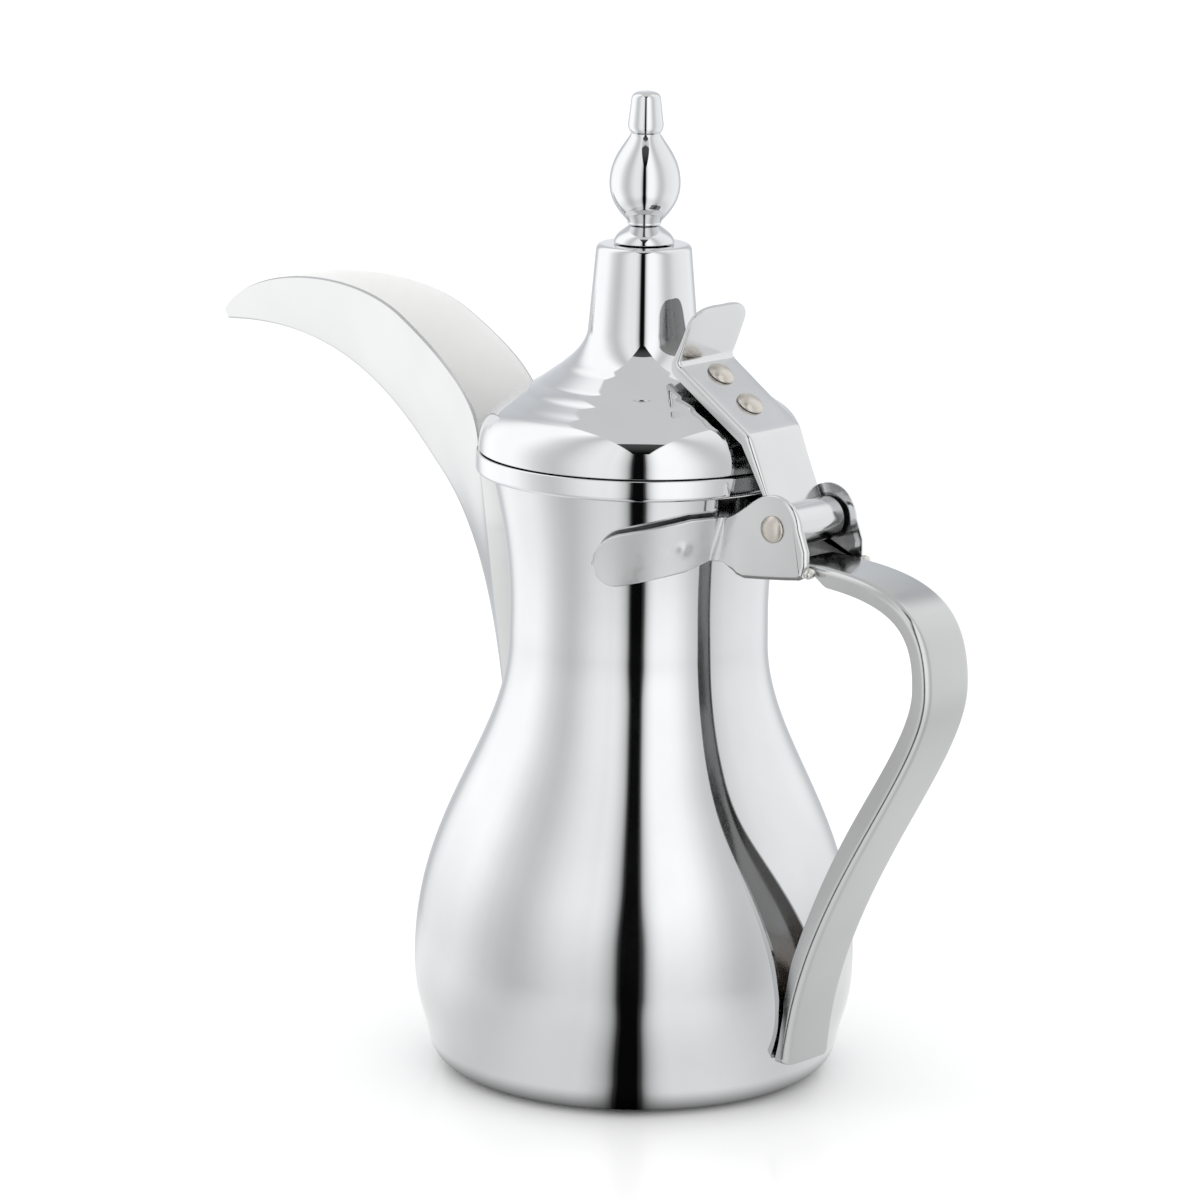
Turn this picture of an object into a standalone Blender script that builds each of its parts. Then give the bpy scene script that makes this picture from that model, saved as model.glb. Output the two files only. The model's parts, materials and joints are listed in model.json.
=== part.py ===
"""Stainless dallah coffee pot: a spun pot with a folded beak spout, a pressed channel handle
and a hinged lid that lifts by a thumb lever.

Metres, +Z up. The origin is the centre of the flat base. The spout points along -X and the
handle along +X, so the whole pot is symmetric about the XZ plane.
"""

import math

import bmesh
import bpy
from mathutils import Matrix, Vector
from mathutils.geometry import interpolate_bezier

# ---- Driving dimensions -------------------------------------------------------------------
GAP = 0.0003                  # clearance left between neighbouring pieces
SEGMENTS = 32                 # sides of every large turned piece

# Pot
SHEET = 0.0008                # drawn wall of the pot
BASE_R = 0.0435               # flat that the pot stands on
KNUCKLE_R, KNUCKLE_Z = 0.0569, 0.010   # where the base curve turns up into the belly
KNUCKLE_LEAN = 0.15           # radians off vertical there
BELLY_R, BELLY_Z = 0.0605, 0.0315
NECK_R, NECK_Z = 0.0354, 0.120
MOUTH_R, RIM_TOP_Z = 0.0420, 0.1721
MOUTH_FLARE = 0.28            # outward slope of the neck where it reaches the rim
RIM_R, RIM_TALL = 0.0449, 0.0057

# Lid
LID_SHEET = 0.0009
LID_R = 0.04415
SHOULDER_R, SHOULDER_Z = 0.0420, 0.1821   # top of the lid's upright wall
SHOULDER_SLOPE = 0.67         # rise per unit of radius on the conical shoulder
CONE_END_R = 0.0224
CHIMNEY_R, CHIMNEY_Z = 0.0148, 0.2061
CHIMNEY_TOP_R, CHIMNEY_TOP_Z = 0.01295, 0.2288
CHIMNEY_ROUND = 0.0017
SEAT_R, SEAT_DEPTH = 0.0375, 0.0051       # ring under the lid that drops into the mouth

# Spout, in side view
SPOUT_SHEET = 0.0010
KEEL_ROOT, KEEL_MID, KEEL_TIP = (-0.0454, 0.0860), (-0.0717, 0.1578), (-0.1553, 0.1911)
EDGE_ROOT, EDGE_MID, EDGE_TIP = (-0.0455, 0.1680), (-0.0762, 0.2014), (-0.1558, 0.1930)
SPOUT_HALF, TIP_HALF = 0.0137, 0.0007     # half width across the top edges
KEEL_ROUNDNESS = 0.06

# Pouring holes through the neck, in single and paired rows
HOLE_R, HOLE_SPREAD, HOLE_PITCH, HOLE_ROWS, LOWEST_HOLE_Z = 0.0024, 0.0042, 0.009, 6, 0.112

# Hinge
PIN = Vector((0.0564, 0.0, 0.1601))
PIN_R, BORE_R = 0.0019, 0.0022
BARREL_R, BARREL_LONG = 0.0058, 0.0214
EAR_OUT, EAR_SHEET = 0.0128, 0.0012       # outer faces of the two ears are at y = +-EAR_OUT
EAR_ROUND = 0.0091            # radius of each ear about the pin

# Lever
LEVER_SHEET, LEVER_FLANGE = 0.0010, 0.0033
TAB_WIDE, BEND_WIDE, KNUCKLE_WIDE = 0.0236, 0.0228, 0.0216
TAB_TOP = (0.0280, 0.2150)
LEVER_CREASE = (0.0222, 0.1998)
LEVER_BEND = (0.0466, 0.1834)
RIVET_AT = (0.0274, 0.0375)   # X of the two rivets on the lever
RIVET_HEAD_R, RIVET_HEAD_TALL, RIVET_SHANK_R = 0.0038, 0.0020, 0.0015

# Handle
HANDLE_WIDE, HANDLE_SHEET, HANDLE_ROUND = 0.0188, 0.0010, 0.0020
HANDLE_START = (0.0600, 0.1515)
HANDLE_BULGE = (0.1064, 0.1222)
HANDLE_FOOT = (0.0622, 0.0128)
HANDLE_FOOT_LEAN = 0.06       # radians off vertical
FOOT_DEPTH = 0.0042           # of the channel at its closed lower end

# Finial
FOOT_R, FOOT_TALL = 0.0082, 0.0046
BULB_R, BULB_Z = 0.0096, 0.2452
TIP_R = 0.0048
TOTAL_TALL = 0.2700
STUD_R, STUD_BORE_R = 0.0019, 0.0022

TURN_Y = Matrix.Rotation(math.radians(-90), 4, "X")   # takes a piece turned about Z onto Y


# ---- Helpers ------------------------------------------------------------------------------
def clear_scene():
    for item in list(bpy.data.objects):
        bpy.data.objects.remove(item, do_unlink=True)


def metal(name, colour, roughness):
    material = bpy.data.materials.new(name)
    material.use_nodes = True
    shader = material.node_tree.nodes["Principled BSDF"]
    shader.inputs["Base Color"].default_value = (*colour, 1.0)
    shader.inputs["Metallic"].default_value = 1.0
    shader.inputs["Roughness"].default_value = roughness
    material.diffuse_color = (*colour, 1.0)
    return material


def add_piece(name, shape, material, place=None):
    """A bmesh becomes a named object, shaded smooth apart from its real edges."""
    bmesh.ops.recalc_face_normals(shape, faces=shape.faces)
    mesh = bpy.data.meshes.new(name)
    shape.to_mesh(mesh)
    shape.free()
    mesh.shade_smooth()
    mesh.set_sharp_from_angle(angle=math.radians(35))
    if material:
        mesh.materials.append(material)
    piece = bpy.data.objects.new(name, mesh)
    bpy.context.scene.collection.objects.link(piece)
    if place:
        piece.matrix_world = place
    return piece


def add_cutter(name, shape, place=None):
    cutter = add_piece(name, shape, None, place)
    cutter.hide_render = True
    cutter.display_type = "WIRE"
    return cutter


def boolean(piece, other, operation):
    """UNION or DIFFERENCE of a piece with a hidden helper object."""
    step = piece.modifiers.new(operation.lower(), "BOOLEAN")
    step.operation = operation
    step.object = other
    step.solver = "EXACT"


def curve(start, start_handle, end_handle, end, steps):
    """Points of one Bezier stretch, without its first point so that stretches chain."""
    corners = [Vector((*point, 0.0)) for point in (start, start_handle, end_handle, end)]
    return [(p.x, p.y) for p in interpolate_bezier(*corners, steps + 1)[1:]]


def arc(centre, radius, first, last, steps):
    """Points on a circle from one angle to another, in degrees."""
    angles = [math.radians(first + (last - first) * i / steps) for i in range(steps + 1)]
    return [(centre[0] + radius * math.cos(a), centre[1] + radius * math.sin(a)) for a in angles]


def offset(points, distance):
    """An open outline moved sideways, to the right of its direction of travel."""
    moved = []
    for i, point in enumerate(points):
        before = Vector(points[max(i - 1, 0)])
        after = Vector(points[min(i + 1, len(points) - 1)])
        along = (after - before).normalized()
        moved.append((point[0] + along.y * distance, point[1] - along.x * distance))
    return moved


def turned(outline, segments=SEGMENTS):
    """Revolve an outline of (radius, height) about Z. A point on the axis becomes a pole;
    an outline with no pole is closed back onto its first point."""
    shape = bmesh.new()
    rings = []
    for radius, height in outline:
        if radius < 1e-9:
            rings.append([shape.verts.new((0.0, 0.0, height))])
            continue
        turns = [2 * math.pi * i / segments for i in range(segments)]
        rings.append([shape.verts.new((radius * math.cos(a), radius * math.sin(a), height))
                      for a in turns])
    pairs = list(zip(rings, rings[1:]))
    if len(rings[0]) > 1:
        pairs.append((rings[-1], rings[0]))
    for lower, upper in pairs:
        for i in range(segments):
            j = (i + 1) % segments
            corners = [lower[i % len(lower)], lower[j % len(lower)],
                       upper[j % len(upper)], upper[i % len(upper)]]
            face = list(dict.fromkeys(corners))
            if len(face) > 2:
                shape.faces.new(face)
    return shape


def loft(sections):
    """A solid through closed sections with equal point counts, capped at both ends."""
    shape = bmesh.new()
    loops = [[shape.verts.new(point) for point in section] for section in sections]
    for first, second in zip(loops, loops[1:]):
        for i in range(len(first)):
            j = (i + 1) % len(first)
            shape.faces.new((first[i], first[j], second[j], second[i]))
    shape.faces.new(loops[0])
    shape.faces.new(loops[-1])
    return shape


def plate(outline, low_y, high_y):
    """A flat plate: an outline of (x, z) given a thickness along Y."""
    return loft([[(x, y, z) for x, z in outline] for y in (low_y, high_y)])


def rod(radius, low, high, sides=16):
    """A plain cylinder along Z."""
    return turned([(0.0, low), (radius, low), (radius, high), (0.0, high)], sides)


def channel_section(width, depth, floor, sheet, rounding):
    """Cross-section of a pressed channel, open underneath, as (across, out) points. The outer
    face is at 0, the flange edges are at -depth and the floor is at -floor."""
    half = width / 2
    right = arc((half - rounding, -rounding), rounding, 90, 0, 3)
    left = [(-across, out) for across, out in reversed(right)]
    inner = half - sheet
    return ([(-half, -depth)] + left + right + [(half, -depth), (inner, -depth)]
            + [(inner, -floor), (-inner, -floor), (-inner, -depth)])


def channel(stations, sheet, rounding):
    """Loft a channel along stations of (point, width, depth, floor) in the XZ plane."""
    points = [station[0] for station in stations]
    sections = []
    for i, (point, width, depth, floor) in enumerate(stations):
        before = Vector(points[max(i - 1, 0)])
        after = Vector(points[min(i + 1, len(points) - 1)])
        along = (after - before).normalized()
        out = Vector((-along.y, along.x))
        section = channel_section(width, depth, floor, sheet, min(rounding, depth * 0.6))
        sections.append([(point[0] + out.x * n, across, point[1] + out.y * n)
                         for across, n in section])
    return loft(sections)


def rounded(corner_points, radii, steps):
    """A polyline with each inner corner replaced by an arc of the given radius."""
    path = [corner_points[0]]
    for before, corner, after, radius in zip(corner_points, corner_points[1:],
                                             corner_points[2:], radii):
        corner = Vector(corner)
        into = (Vector(before) - corner).normalized()
        away = (Vector(after) - corner).normalized()
        half = into.angle(away) / 2
        reach = radius / math.tan(half)
        centre = corner + (into + away).normalized() * (radius / math.sin(half))
        start = corner + into * reach - centre
        sweep = start.angle_signed(corner + away * reach - centre)
        for i in range(steps + 1):
            turn = Matrix.Rotation(-sweep * i / steps, 2)
            spoke = turn @ start
            path.append((centre.x + spoke.x, centre.y + spoke.y))
    path.append(corner_points[-1])
    return path


# ---- Pot ----------------------------------------------------------------------------------
def pot_outline(base_steps=4, knuckle_steps=3, side_steps=7, neck_steps=6):
    """Outer surface of the pot, from the edge of its base up to its mouth."""
    lean = Vector((math.sin(KNUCKLE_LEAN), math.cos(KNUCKLE_LEAN)))
    knuckle = Vector((KNUCKLE_R, KNUCKLE_Z))
    mouth = (MOUTH_R, RIM_TOP_Z - GAP)
    outline = [(BASE_R, 0.0)]
    outline += curve((BASE_R, 0.0), (BASE_R + 0.0101, 0.0), knuckle - lean * 0.005,
                     knuckle, base_steps)
    outline += curve(knuckle, knuckle + lean * 0.0061, (BELLY_R, BELLY_Z - 0.0131),
                     (BELLY_R, BELLY_Z), knuckle_steps)
    outline += curve((BELLY_R, BELLY_Z), (BELLY_R, BELLY_Z + 0.040), (NECK_R, NECK_Z - 0.0286),
                     (NECK_R, NECK_Z), side_steps)
    outline += curve((NECK_R, NECK_Z), (NECK_R, NECK_Z + 0.0095),
                     (MOUTH_R - MOUTH_FLARE * 0.0284, mouth[1] - 0.0284), mouth, neck_steps)
    return outline


def pot_radius(height):
    """Outer radius of the pot at a height above the base."""
    outline = pot_outline()
    for (r0, z0), (r1, z1) in zip(outline, outline[1:]):
        if z0 <= height <= z1:
            return r0 + (r1 - r0) * (height - z0) / (z1 - z0)
    return outline[-1][0]


def make_body_shell(material):
    """Belly and neck drawn in one piece, with pouring holes through the neck in the spout."""
    outer = pot_outline()
    inner = offset(outer, -SHEET)
    inner[0] = (BASE_R, SHEET)
    inner[-1] = (outer[-1][0] - SHEET, outer[-1][1])
    body = add_piece("body_shell", turned(outer + inner[::-1]), material)
    boolean(body, make_pouring_holes(), "DIFFERENCE")
    return body


def make_pouring_holes():
    """Cutter for the strainer holes: single and paired holes in turn up the neck."""
    shape = bmesh.new()
    for row in range(HOLE_ROWS):
        for across in ((0.0,) if row % 2 == 0 else (-HOLE_SPREAD, HOLE_SPREAD)):
            centre = (-NECK_R, across, LOWEST_HOLE_Z + row * HOLE_PITCH)
            place = Matrix.Translation(centre) @ Matrix.Rotation(math.radians(90), 4, "Y")
            bmesh.ops.create_cone(shape, cap_ends=True, segments=8, radius1=HOLE_R,
                                  radius2=HOLE_R, depth=0.020, matrix=place)
    return add_cutter("pouring_holes", shape)


def make_base_plate(material):
    """Flat disc welded into the bottom of the shell; its underside is what the pot stands on."""
    edge = BASE_R - GAP
    outline = [(0.0, 0.0), (edge, 0.0), (edge, 0.0010), (0.0, 0.0010)]
    return add_piece("base_plate", turned(outline), material)


def rim_outline():
    """Half-round collar outside the mouth; its inner face follows the flared neck."""
    bottom, top = RIM_TOP_Z - RIM_TALL, RIM_TOP_Z
    lip = 0.0013
    outline = [(pot_radius(bottom) + GAP, bottom)]
    outline += arc((RIM_R - lip, bottom + lip), lip, -90, 0, 3)
    outline += [(RIM_R, top - 0.0005), (RIM_R - 0.0004, top), (MOUTH_R + GAP, top)]
    return outline


def make_rim_band(material):
    return add_piece("rim_band", turned(rim_outline()), material)


# ---- Spout --------------------------------------------------------------------------------
def spout_rulings():
    """Stations from the neck to the tip: (keel point, top-edge point, half width at the top).
    Each wall of the beak is straight from the keel fold up to its top edge."""
    keel = [KEEL_ROOT]
    keel += curve(KEEL_ROOT, (-0.0484, 0.0969), (-0.0503, 0.1362), KEEL_MID, 5)
    keel += curve(KEEL_MID, (-0.0855, 0.1717), (-0.1061, 0.1960), KEEL_TIP, 7)
    top = [EDGE_ROOT]
    top += curve(EDGE_ROOT, (-0.0465, 0.1800), (-0.0540, 0.1890), EDGE_MID, 5)
    top += curve(EDGE_MID, (-0.0980, 0.2130), (-0.1420, 0.2080), EDGE_TIP, 7)
    last, parallel = len(top) - 1, 3
    half_widths = []
    for i in range(last + 1):
        share = max(0.0, (i - parallel) / (last - parallel))
        half_widths.append(SPOUT_HALF - (SPOUT_HALF - TIP_HALF) * share ** 1.6)
    return list(zip(keel, top, half_widths))


def fold(share):
    """Half width of the beak at a share of the way up its wall: a V with a rounded keel."""
    return math.sqrt(share * (share + 2 * KEEL_ROUNDNESS) / (1 + 2 * KEEL_ROUNDNESS))


def make_spout_shell(material, neck_trim):
    """Open beak folded from one sheet, cut to fit against the neck and the rim."""
    rows = (0.0, 0.04, 0.14, 0.38, 0.68, 1.0)
    into_neck = 0.022             # the walls run on inwards, to where the trim cuts them
    stations = spout_rulings()
    (keel_x, keel_z), (top_x, top_z), half = stations[0]
    stations.insert(0, ((keel_x + into_neck, keel_z), (top_x + into_neck, top_z), half))
    shape = bmesh.new()
    grid = []
    for keel, top, half in stations:
        column = []
        for side, share in [(-1, s) for s in reversed(rows)] + [(1, s) for s in rows[1:]]:
            x = keel[0] + (top[0] - keel[0]) * share
            z = keel[1] + (top[1] - keel[1]) * share
            column.append(shape.verts.new((x, side * half * fold(share), z)))
        grid.append(column)
    for first, second in zip(grid, grid[1:]):
        for i in range(len(first) - 1):
            shape.faces.new((first[i], second[i], second[i + 1], first[i + 1]))
    spout = add_piece("spout_shell", shape, material)
    skin = spout.modifiers.new("sheet", "SOLIDIFY")
    skin.thickness = SPOUT_SHEET
    skin.offset = -1.0
    skin.use_even_offset = True
    boolean(spout, neck_trim, "DIFFERENCE")
    return spout


def make_neck_trim():
    """Cutter in the shape of the neck and rim with their clearance, for what fits round them."""
    below_rim = RIM_TOP_Z - RIM_TALL - GAP
    neck = [(r + GAP, z) for r, z in pot_outline() if BELLY_Z < z < below_rim]
    outline = [(0.0, neck[0][1])] + neck
    outline += [(pot_radius(below_rim) + GAP, below_rim), (RIM_R + GAP, below_rim)]
    outline += [(RIM_R + GAP, 0.190), (0.0, 0.190)]
    return add_cutter("neck_trim", turned(outline))


# ---- Hinge bracket ------------------------------------------------------------------------
def bracket_arm(side):
    """One arm of the bracket: a strip bent round the neck, drooping to a rounded end."""
    first, last, steps = 17.0, 69.0, 12
    sections = []
    for i in range(steps + 1):
        degrees = first + (last - first) * i / steps
        share = (degrees - first) / (last - first)
        angle = math.radians(degrees) * side
        middle = 0.1549 - 0.0070 * share
        half = 0.0062 + 0.0012 * min(1.0, share / 0.2)
        into_end = max(0.0, (share - 0.78) / 0.22)
        half *= max(0.12, math.sqrt(1.0 - into_end ** 2))
        section = []
        for lift, levels in ((GAP + 0.00005, (-1.0, -0.33, 0.33, 1.0)),
                             (GAP + EAR_SHEET, (1.0, 0.33, -0.33, -1.0))):
            for level in levels:
                z = middle + half * level
                radius = pot_radius(z) + lift
                section.append((radius * math.cos(angle), radius * math.sin(angle), z))
        sections.append(section)
    return loft(sections)


def ear_outline():
    """Side view of one ear, from the neck over the rounded top to the handle and back."""
    crown = arc((PIN.x, PIN.z), EAR_ROUND, 104, 8, 7)
    outline = [(0.0340, 0.1493), (0.0340, 0.1604), (0.0400, 0.1619), (0.0445, 0.1640)]
    outline += [(0.0492, 0.1666)] + crown
    outline += [(0.0678, 0.1566), (0.0680, 0.1516), (0.0664, 0.1514), (0.0663, 0.1474)]
    outline += [(0.0597, 0.1470)]
    outline += [(0.0500, 0.1457), (0.0458, 0.1454), (0.0425, 0.1462), (0.0398, 0.1489)]
    return outline


def web_outline():
    """Side view of the floor that joins the two ears underneath."""
    lower = [(0.0660, 0.1473), (0.0597, 0.1470), (0.0500, 0.1457), (0.0458, 0.1454)]
    upper = [(x, z + EAR_SHEET) for x, z in reversed(lower)]
    return lower + upper


def make_hinge_bracket(material, neck_trim):
    """Saddle that clasps the neck, carries the hinge pin and takes the top of the handle."""
    inner = EAR_OUT - EAR_SHEET
    bracket = add_piece("hinge_bracket", plate(ear_outline(), -EAR_OUT, -inner), material)
    joined = {
        "bracket_far_ear": plate(ear_outline(), inner, EAR_OUT),
        "bracket_web": plate(web_outline(), -EAR_OUT + 0.0001, EAR_OUT - 0.0001),
        "bracket_near_arm": bracket_arm(-1),
        "bracket_far_arm": bracket_arm(1),
    }
    for name in ("bracket_web", "bracket_far_ear", "bracket_near_arm", "bracket_far_arm"):
        boolean(bracket, add_cutter(name, joined[name]), "UNION")
    bore = add_cutter("ear_bore", rod(BORE_R, -0.020, 0.020), Matrix.Translation(PIN) @ TURN_Y)
    boolean(bracket, bore, "DIFFERENCE")
    boolean(bracket, neck_trim, "DIFFERENCE")
    return bracket


def make_hinge_pin(material):
    """Riveted hinge pin with a low dome at each end."""
    head_r, head_tall = 0.0037, 0.0013
    seat = EAR_OUT + GAP
    dome = [(head_r, seat + 0.0003), (0.0030, seat + 0.0009), (0.0016, seat + head_tall - 0.0001)]
    upper = [(PIN_R, seat), (head_r, seat)] + dome + [(0.0, seat + head_tall)]
    lower = [(r, -z) for r, z in reversed(upper)]
    return add_piece("hinge_pin", turned(lower + upper, 16), material,
                     Matrix.Translation(PIN) @ TURN_Y)


# ---- Handle -------------------------------------------------------------------------------
def handle_path(upper_steps=14, lower_steps=12):
    """Outer face of the handle in side view, from inside the bracket down to the foot."""
    lean = Vector((math.sin(HANDLE_FOOT_LEAN), math.cos(HANDLE_FOOT_LEAN)))
    bulge = HANDLE_BULGE
    path = [HANDLE_START]
    path += curve(HANDLE_START, (HANDLE_START[0] + 0.0326, HANDLE_START[1]),
                  (bulge[0], bulge[1] + 0.0230), bulge, upper_steps)
    path += curve(bulge, (bulge[0], bulge[1] - 0.0230), Vector(HANDLE_FOOT) + lean * 0.0470,
                  HANDLE_FOOT, lower_steps)
    return path


def handle_depth(share):
    """Depth of the channel along the handle: shallow in the bracket, deepest half-way down."""
    marks = ((0.0, 0.0026), (0.040, 0.0026), (0.070, 0.0050), (0.25, 0.0050), (0.60, 0.0062),
             (0.84, 0.0052), (0.90, 0.0043), (0.93, 0.0035), (0.965, 0.0035), (1.0, FOOT_DEPTH))
    for (s0, d0), (s1, d1) in zip(marks, marks[1:]):
        if share <= s1:
            return d0 + (d1 - d0) * (share - s0) / (s1 - s0)
    return marks[-1][1]


def make_handle_channel(material):
    """Pressed channel handle: open towards the pot, closed and rounded at its foot."""
    path = handle_path()
    lengths = [0.0]
    for a, b in zip(path, path[1:]):
        lengths.append(lengths[-1] + (Vector(b) - Vector(a)).length)
    stations = []
    for point, along in zip(path, lengths):
        depth = handle_depth(along / lengths[-1])
        stations.append([point, HANDLE_WIDE, depth, HANDLE_SHEET])
    foot, before = Vector(path[-1]), Vector(path[-2])
    up = (before - foot).normalized()
    above_foot = foot + up * 0.0012
    rounding = foot + up * 0.0004
    stations[-1:] = [
        [tuple(above_foot), HANDLE_WIDE, FOOT_DEPTH, HANDLE_SHEET],
        [tuple(rounding), HANDLE_WIDE - 0.0012, FOOT_DEPTH, FOOT_DEPTH - 0.0001],
        [tuple(foot), HANDLE_WIDE - 0.0026, FOOT_DEPTH - 0.0002, FOOT_DEPTH - 0.0003],
    ]
    return add_piece("handle_channel", channel(stations, HANDLE_SHEET, HANDLE_ROUND), material)


def make_handle_weld(name, side, material):
    """Weld bead between the rear edge of one ear and the side of the handle."""
    shape = bmesh.new()
    bmesh.ops.create_uvsphere(shape, u_segments=10, v_segments=6, radius=0.0015)
    bmesh.ops.scale(shape, vec=(1.0, 1.3, 1.0), verts=shape.verts)
    place = Matrix.Translation((0.0682, side * 0.0117, 0.1497))
    return add_piece(name, shape, material, place)


def make_foot_weld(material):
    """Brazed pad inside the channel that fixes the foot of the handle to the belly."""
    height, radius = 0.0240, 0.0030
    lowest = height - radius
    floor = next(x for x, z in handle_path(40, 60)[40:] if z < lowest) - HANDLE_SHEET
    inner = pot_radius(height) + GAP
    thick = floor - GAP - inner
    shape = turned([(0.0, 0.0), (radius, 0.0), (radius, thick), (0.0, thick)], 12)
    place = Matrix.Translation((inner, 0.0, height)) @ Matrix.Rotation(
        math.radians(90), 4, "Y")
    return add_piece("foot_weld", shape, material, place)


# ---- Lid ----------------------------------------------------------------------------------
def lid_outline():
    """Outer surface of the lid: upright wall, conical shoulder, chimney, flat top."""
    bottom = RIM_TOP_Z + GAP
    cone_end_z = SHOULDER_Z + (SHOULDER_R - CONE_END_R) * SHOULDER_SLOPE
    uphill = Vector((-1.0, SHOULDER_SLOPE)).normalized()
    shoulder, cone_end = Vector((SHOULDER_R, SHOULDER_Z)), Vector((CONE_END_R, cone_end_z))
    outline = [(LID_R, bottom)]
    outline += curve(outline[0], (LID_R, bottom + 0.0044), shoulder - uphill * 0.0014,
                     shoulder, 5)
    outline.append((cone_end.x, cone_end.y))
    outline += curve(cone_end, cone_end + uphill * 0.0037, (CHIMNEY_R, CHIMNEY_Z - 0.0046),
                     (CHIMNEY_R, CHIMNEY_Z), 5)
    outline += arc((CHIMNEY_TOP_R - CHIMNEY_ROUND, CHIMNEY_TOP_Z - CHIMNEY_ROUND),
                   CHIMNEY_ROUND, 5, 90, 3)
    return outline


def make_lid_shell(material):
    """Stepped lid spun from one sheet, with holes for the finial stud and the rivets."""
    outer = lid_outline()
    inner = offset(outer, LID_SHEET * -1)
    inner[0] = (LID_R - LID_SHEET, outer[0][1])
    inner[-1] = (outer[-1][0], outer[-1][1] - LID_SHEET)
    closed = outer + [(STUD_BORE_R, CHIMNEY_TOP_Z), (STUD_BORE_R, CHIMNEY_TOP_Z - LID_SHEET)]
    lid = add_piece("lid_shell", turned(closed + inner[::-1]), material)
    for name, x in zip(("upper_lid_hole", "lower_lid_hole"), RIVET_AT):
        hole = add_cutter(name, rod(RIVET_SHANK_R + GAP, -0.010, 0.004, 10), rivet_place(x))
        boolean(lid, hole, "DIFFERENCE")
    return lid


def make_lid_seat_ring(material):
    """Angle ring inside the lid; its skirt drops into the mouth and centres the lid."""
    bottom = RIM_TOP_Z + GAP
    reach = LID_R - LID_SHEET - GAP
    sheet = 0.0008
    outline = [(SEAT_R, bottom - SEAT_DEPTH), (SEAT_R, bottom), (reach, bottom)]
    outline += [(reach, bottom + sheet), (SEAT_R - sheet, bottom + sheet)]
    outline += [(SEAT_R - sheet, bottom - SEAT_DEPTH)]
    return add_piece("lid_seat_ring", turned(outline), material)


# ---- Lever --------------------------------------------------------------------------------
def lever_path():
    """Upper face of the lever in side view, from the thumb tab down to the barrel."""
    bend = Vector(LEVER_BEND)
    pin = Vector((PIN.x, PIN.z))
    onto_barrel = pin + (bend - pin).normalized() * (BARREL_R - 0.0012)
    return rounded([TAB_TOP, LEVER_CREASE, LEVER_BEND, tuple(onto_barrel)],
                   (0.0020, 0.0040), 3)


def make_lid_lever(material):
    """Thumb lever: tab, flanged strap riveted to the lid, and a knuckle rolled round the pin."""
    path = lever_path()
    top, crease, bend = Vector(path[0]), Vector(LEVER_CREASE), Vector(LEVER_BEND)
    down = (Vector(path[1]) - top).normalized()
    no_flange, tab_round = LEVER_SHEET + 0.00012, 0.0050
    stations = []
    for degrees in (14, 32, 50, 70, 90):
        angle = math.radians(degrees)
        point = top + down * tab_round * (1 - math.cos(angle))
        width = TAB_WIDE * math.sin(angle) ** 0.6
        stations.append([tuple(point), width, no_flange, LEVER_SHEET])
    for i, point in enumerate(path[1:], 1):
        depth = LEVER_FLANGE if 2 <= i <= len(path) - 2 else no_flange
        fall = crease.y - point[1]
        if fall < crease.y - bend.y:
            width = TAB_WIDE + (BEND_WIDE - TAB_WIDE) * max(0.0, fall) / (crease.y - bend.y)
        else:
            share = (bend.y - point[1]) / (bend.y - path[-1][1])
            width = BEND_WIDE + (KNUCKLE_WIDE - BEND_WIDE) * share
        stations.append([point, width, depth, LEVER_SHEET])
    lever = add_piece("lid_lever", channel(stations, LEVER_SHEET, 0.0008), material)
    on_pin = Matrix.Translation(PIN) @ TURN_Y
    barrel = rod(BARREL_R, -BARREL_LONG / 2, BARREL_LONG / 2, 24)
    boolean(lever, add_cutter("lever_barrel", barrel, on_pin), "UNION")
    boolean(lever, add_cutter("barrel_bore", rod(BORE_R, -0.020, 0.020), on_pin), "DIFFERENCE")
    for name, x in zip(("upper_lever_hole", "lower_lever_hole"), RIVET_AT):
        hole = add_cutter(name, rod(RIVET_SHANK_R + GAP, -0.010, 0.004, 10), rivet_place(x))
        boolean(lever, hole, "DIFFERENCE")
    return lever


def rivet_place(x):
    """Frame of a rivet: its origin on the lever's upper face, +Z straight out of the lid."""
    share = (x - LEVER_CREASE[0]) / (LEVER_BEND[0] - LEVER_CREASE[0])
    z = LEVER_CREASE[1] + (LEVER_BEND[1] - LEVER_CREASE[1]) * share
    lean = math.atan2(LEVER_CREASE[1] - LEVER_BEND[1], LEVER_BEND[0] - LEVER_CREASE[0])
    return Matrix.Translation((x, 0.0, z)) @ Matrix.Rotation(lean, 4, "Y")


def make_lever_rivet(name, x, material):
    """Dome-headed rivet through the lever and the lid, with its tail spread inside."""
    tail = -0.0053
    head = [(RIVET_HEAD_R, GAP), (RIVET_HEAD_R - 0.0001, GAP + 0.0004),
            (RIVET_HEAD_R * 0.78, GAP + RIVET_HEAD_TALL * 0.66),
            (RIVET_HEAD_R * 0.42, GAP + RIVET_HEAD_TALL * 0.93)]
    outline = [(0.0, tail - 0.0009), (0.0024, tail - 0.0009), (0.0024, tail)]
    outline += [(RIVET_SHANK_R, tail), (RIVET_SHANK_R, GAP)] + head
    outline += [(0.0, GAP + RIVET_HEAD_TALL)]
    return add_piece(name, turned(outline, 12), material, rivet_place(x))


# ---- Finial -------------------------------------------------------------------------------
def make_finial_foot(material):
    """Domed washer under the bulb."""
    low = CHIMNEY_TOP_Z + GAP
    high = low + FOOT_TALL
    outline = [(STUD_BORE_R, low), (FOOT_R, low), (FOOT_R, low + 0.0005)]
    outline += curve(outline[-1], (FOOT_R - 0.0007, low + 0.0021), (0.0058, low + 0.0030),
                     (0.0045, high - 0.0002), 4)
    outline += [(0.0043, high), (STUD_BORE_R, high)]
    return add_piece("finial_foot", turned(outline, 24), material)


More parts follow.
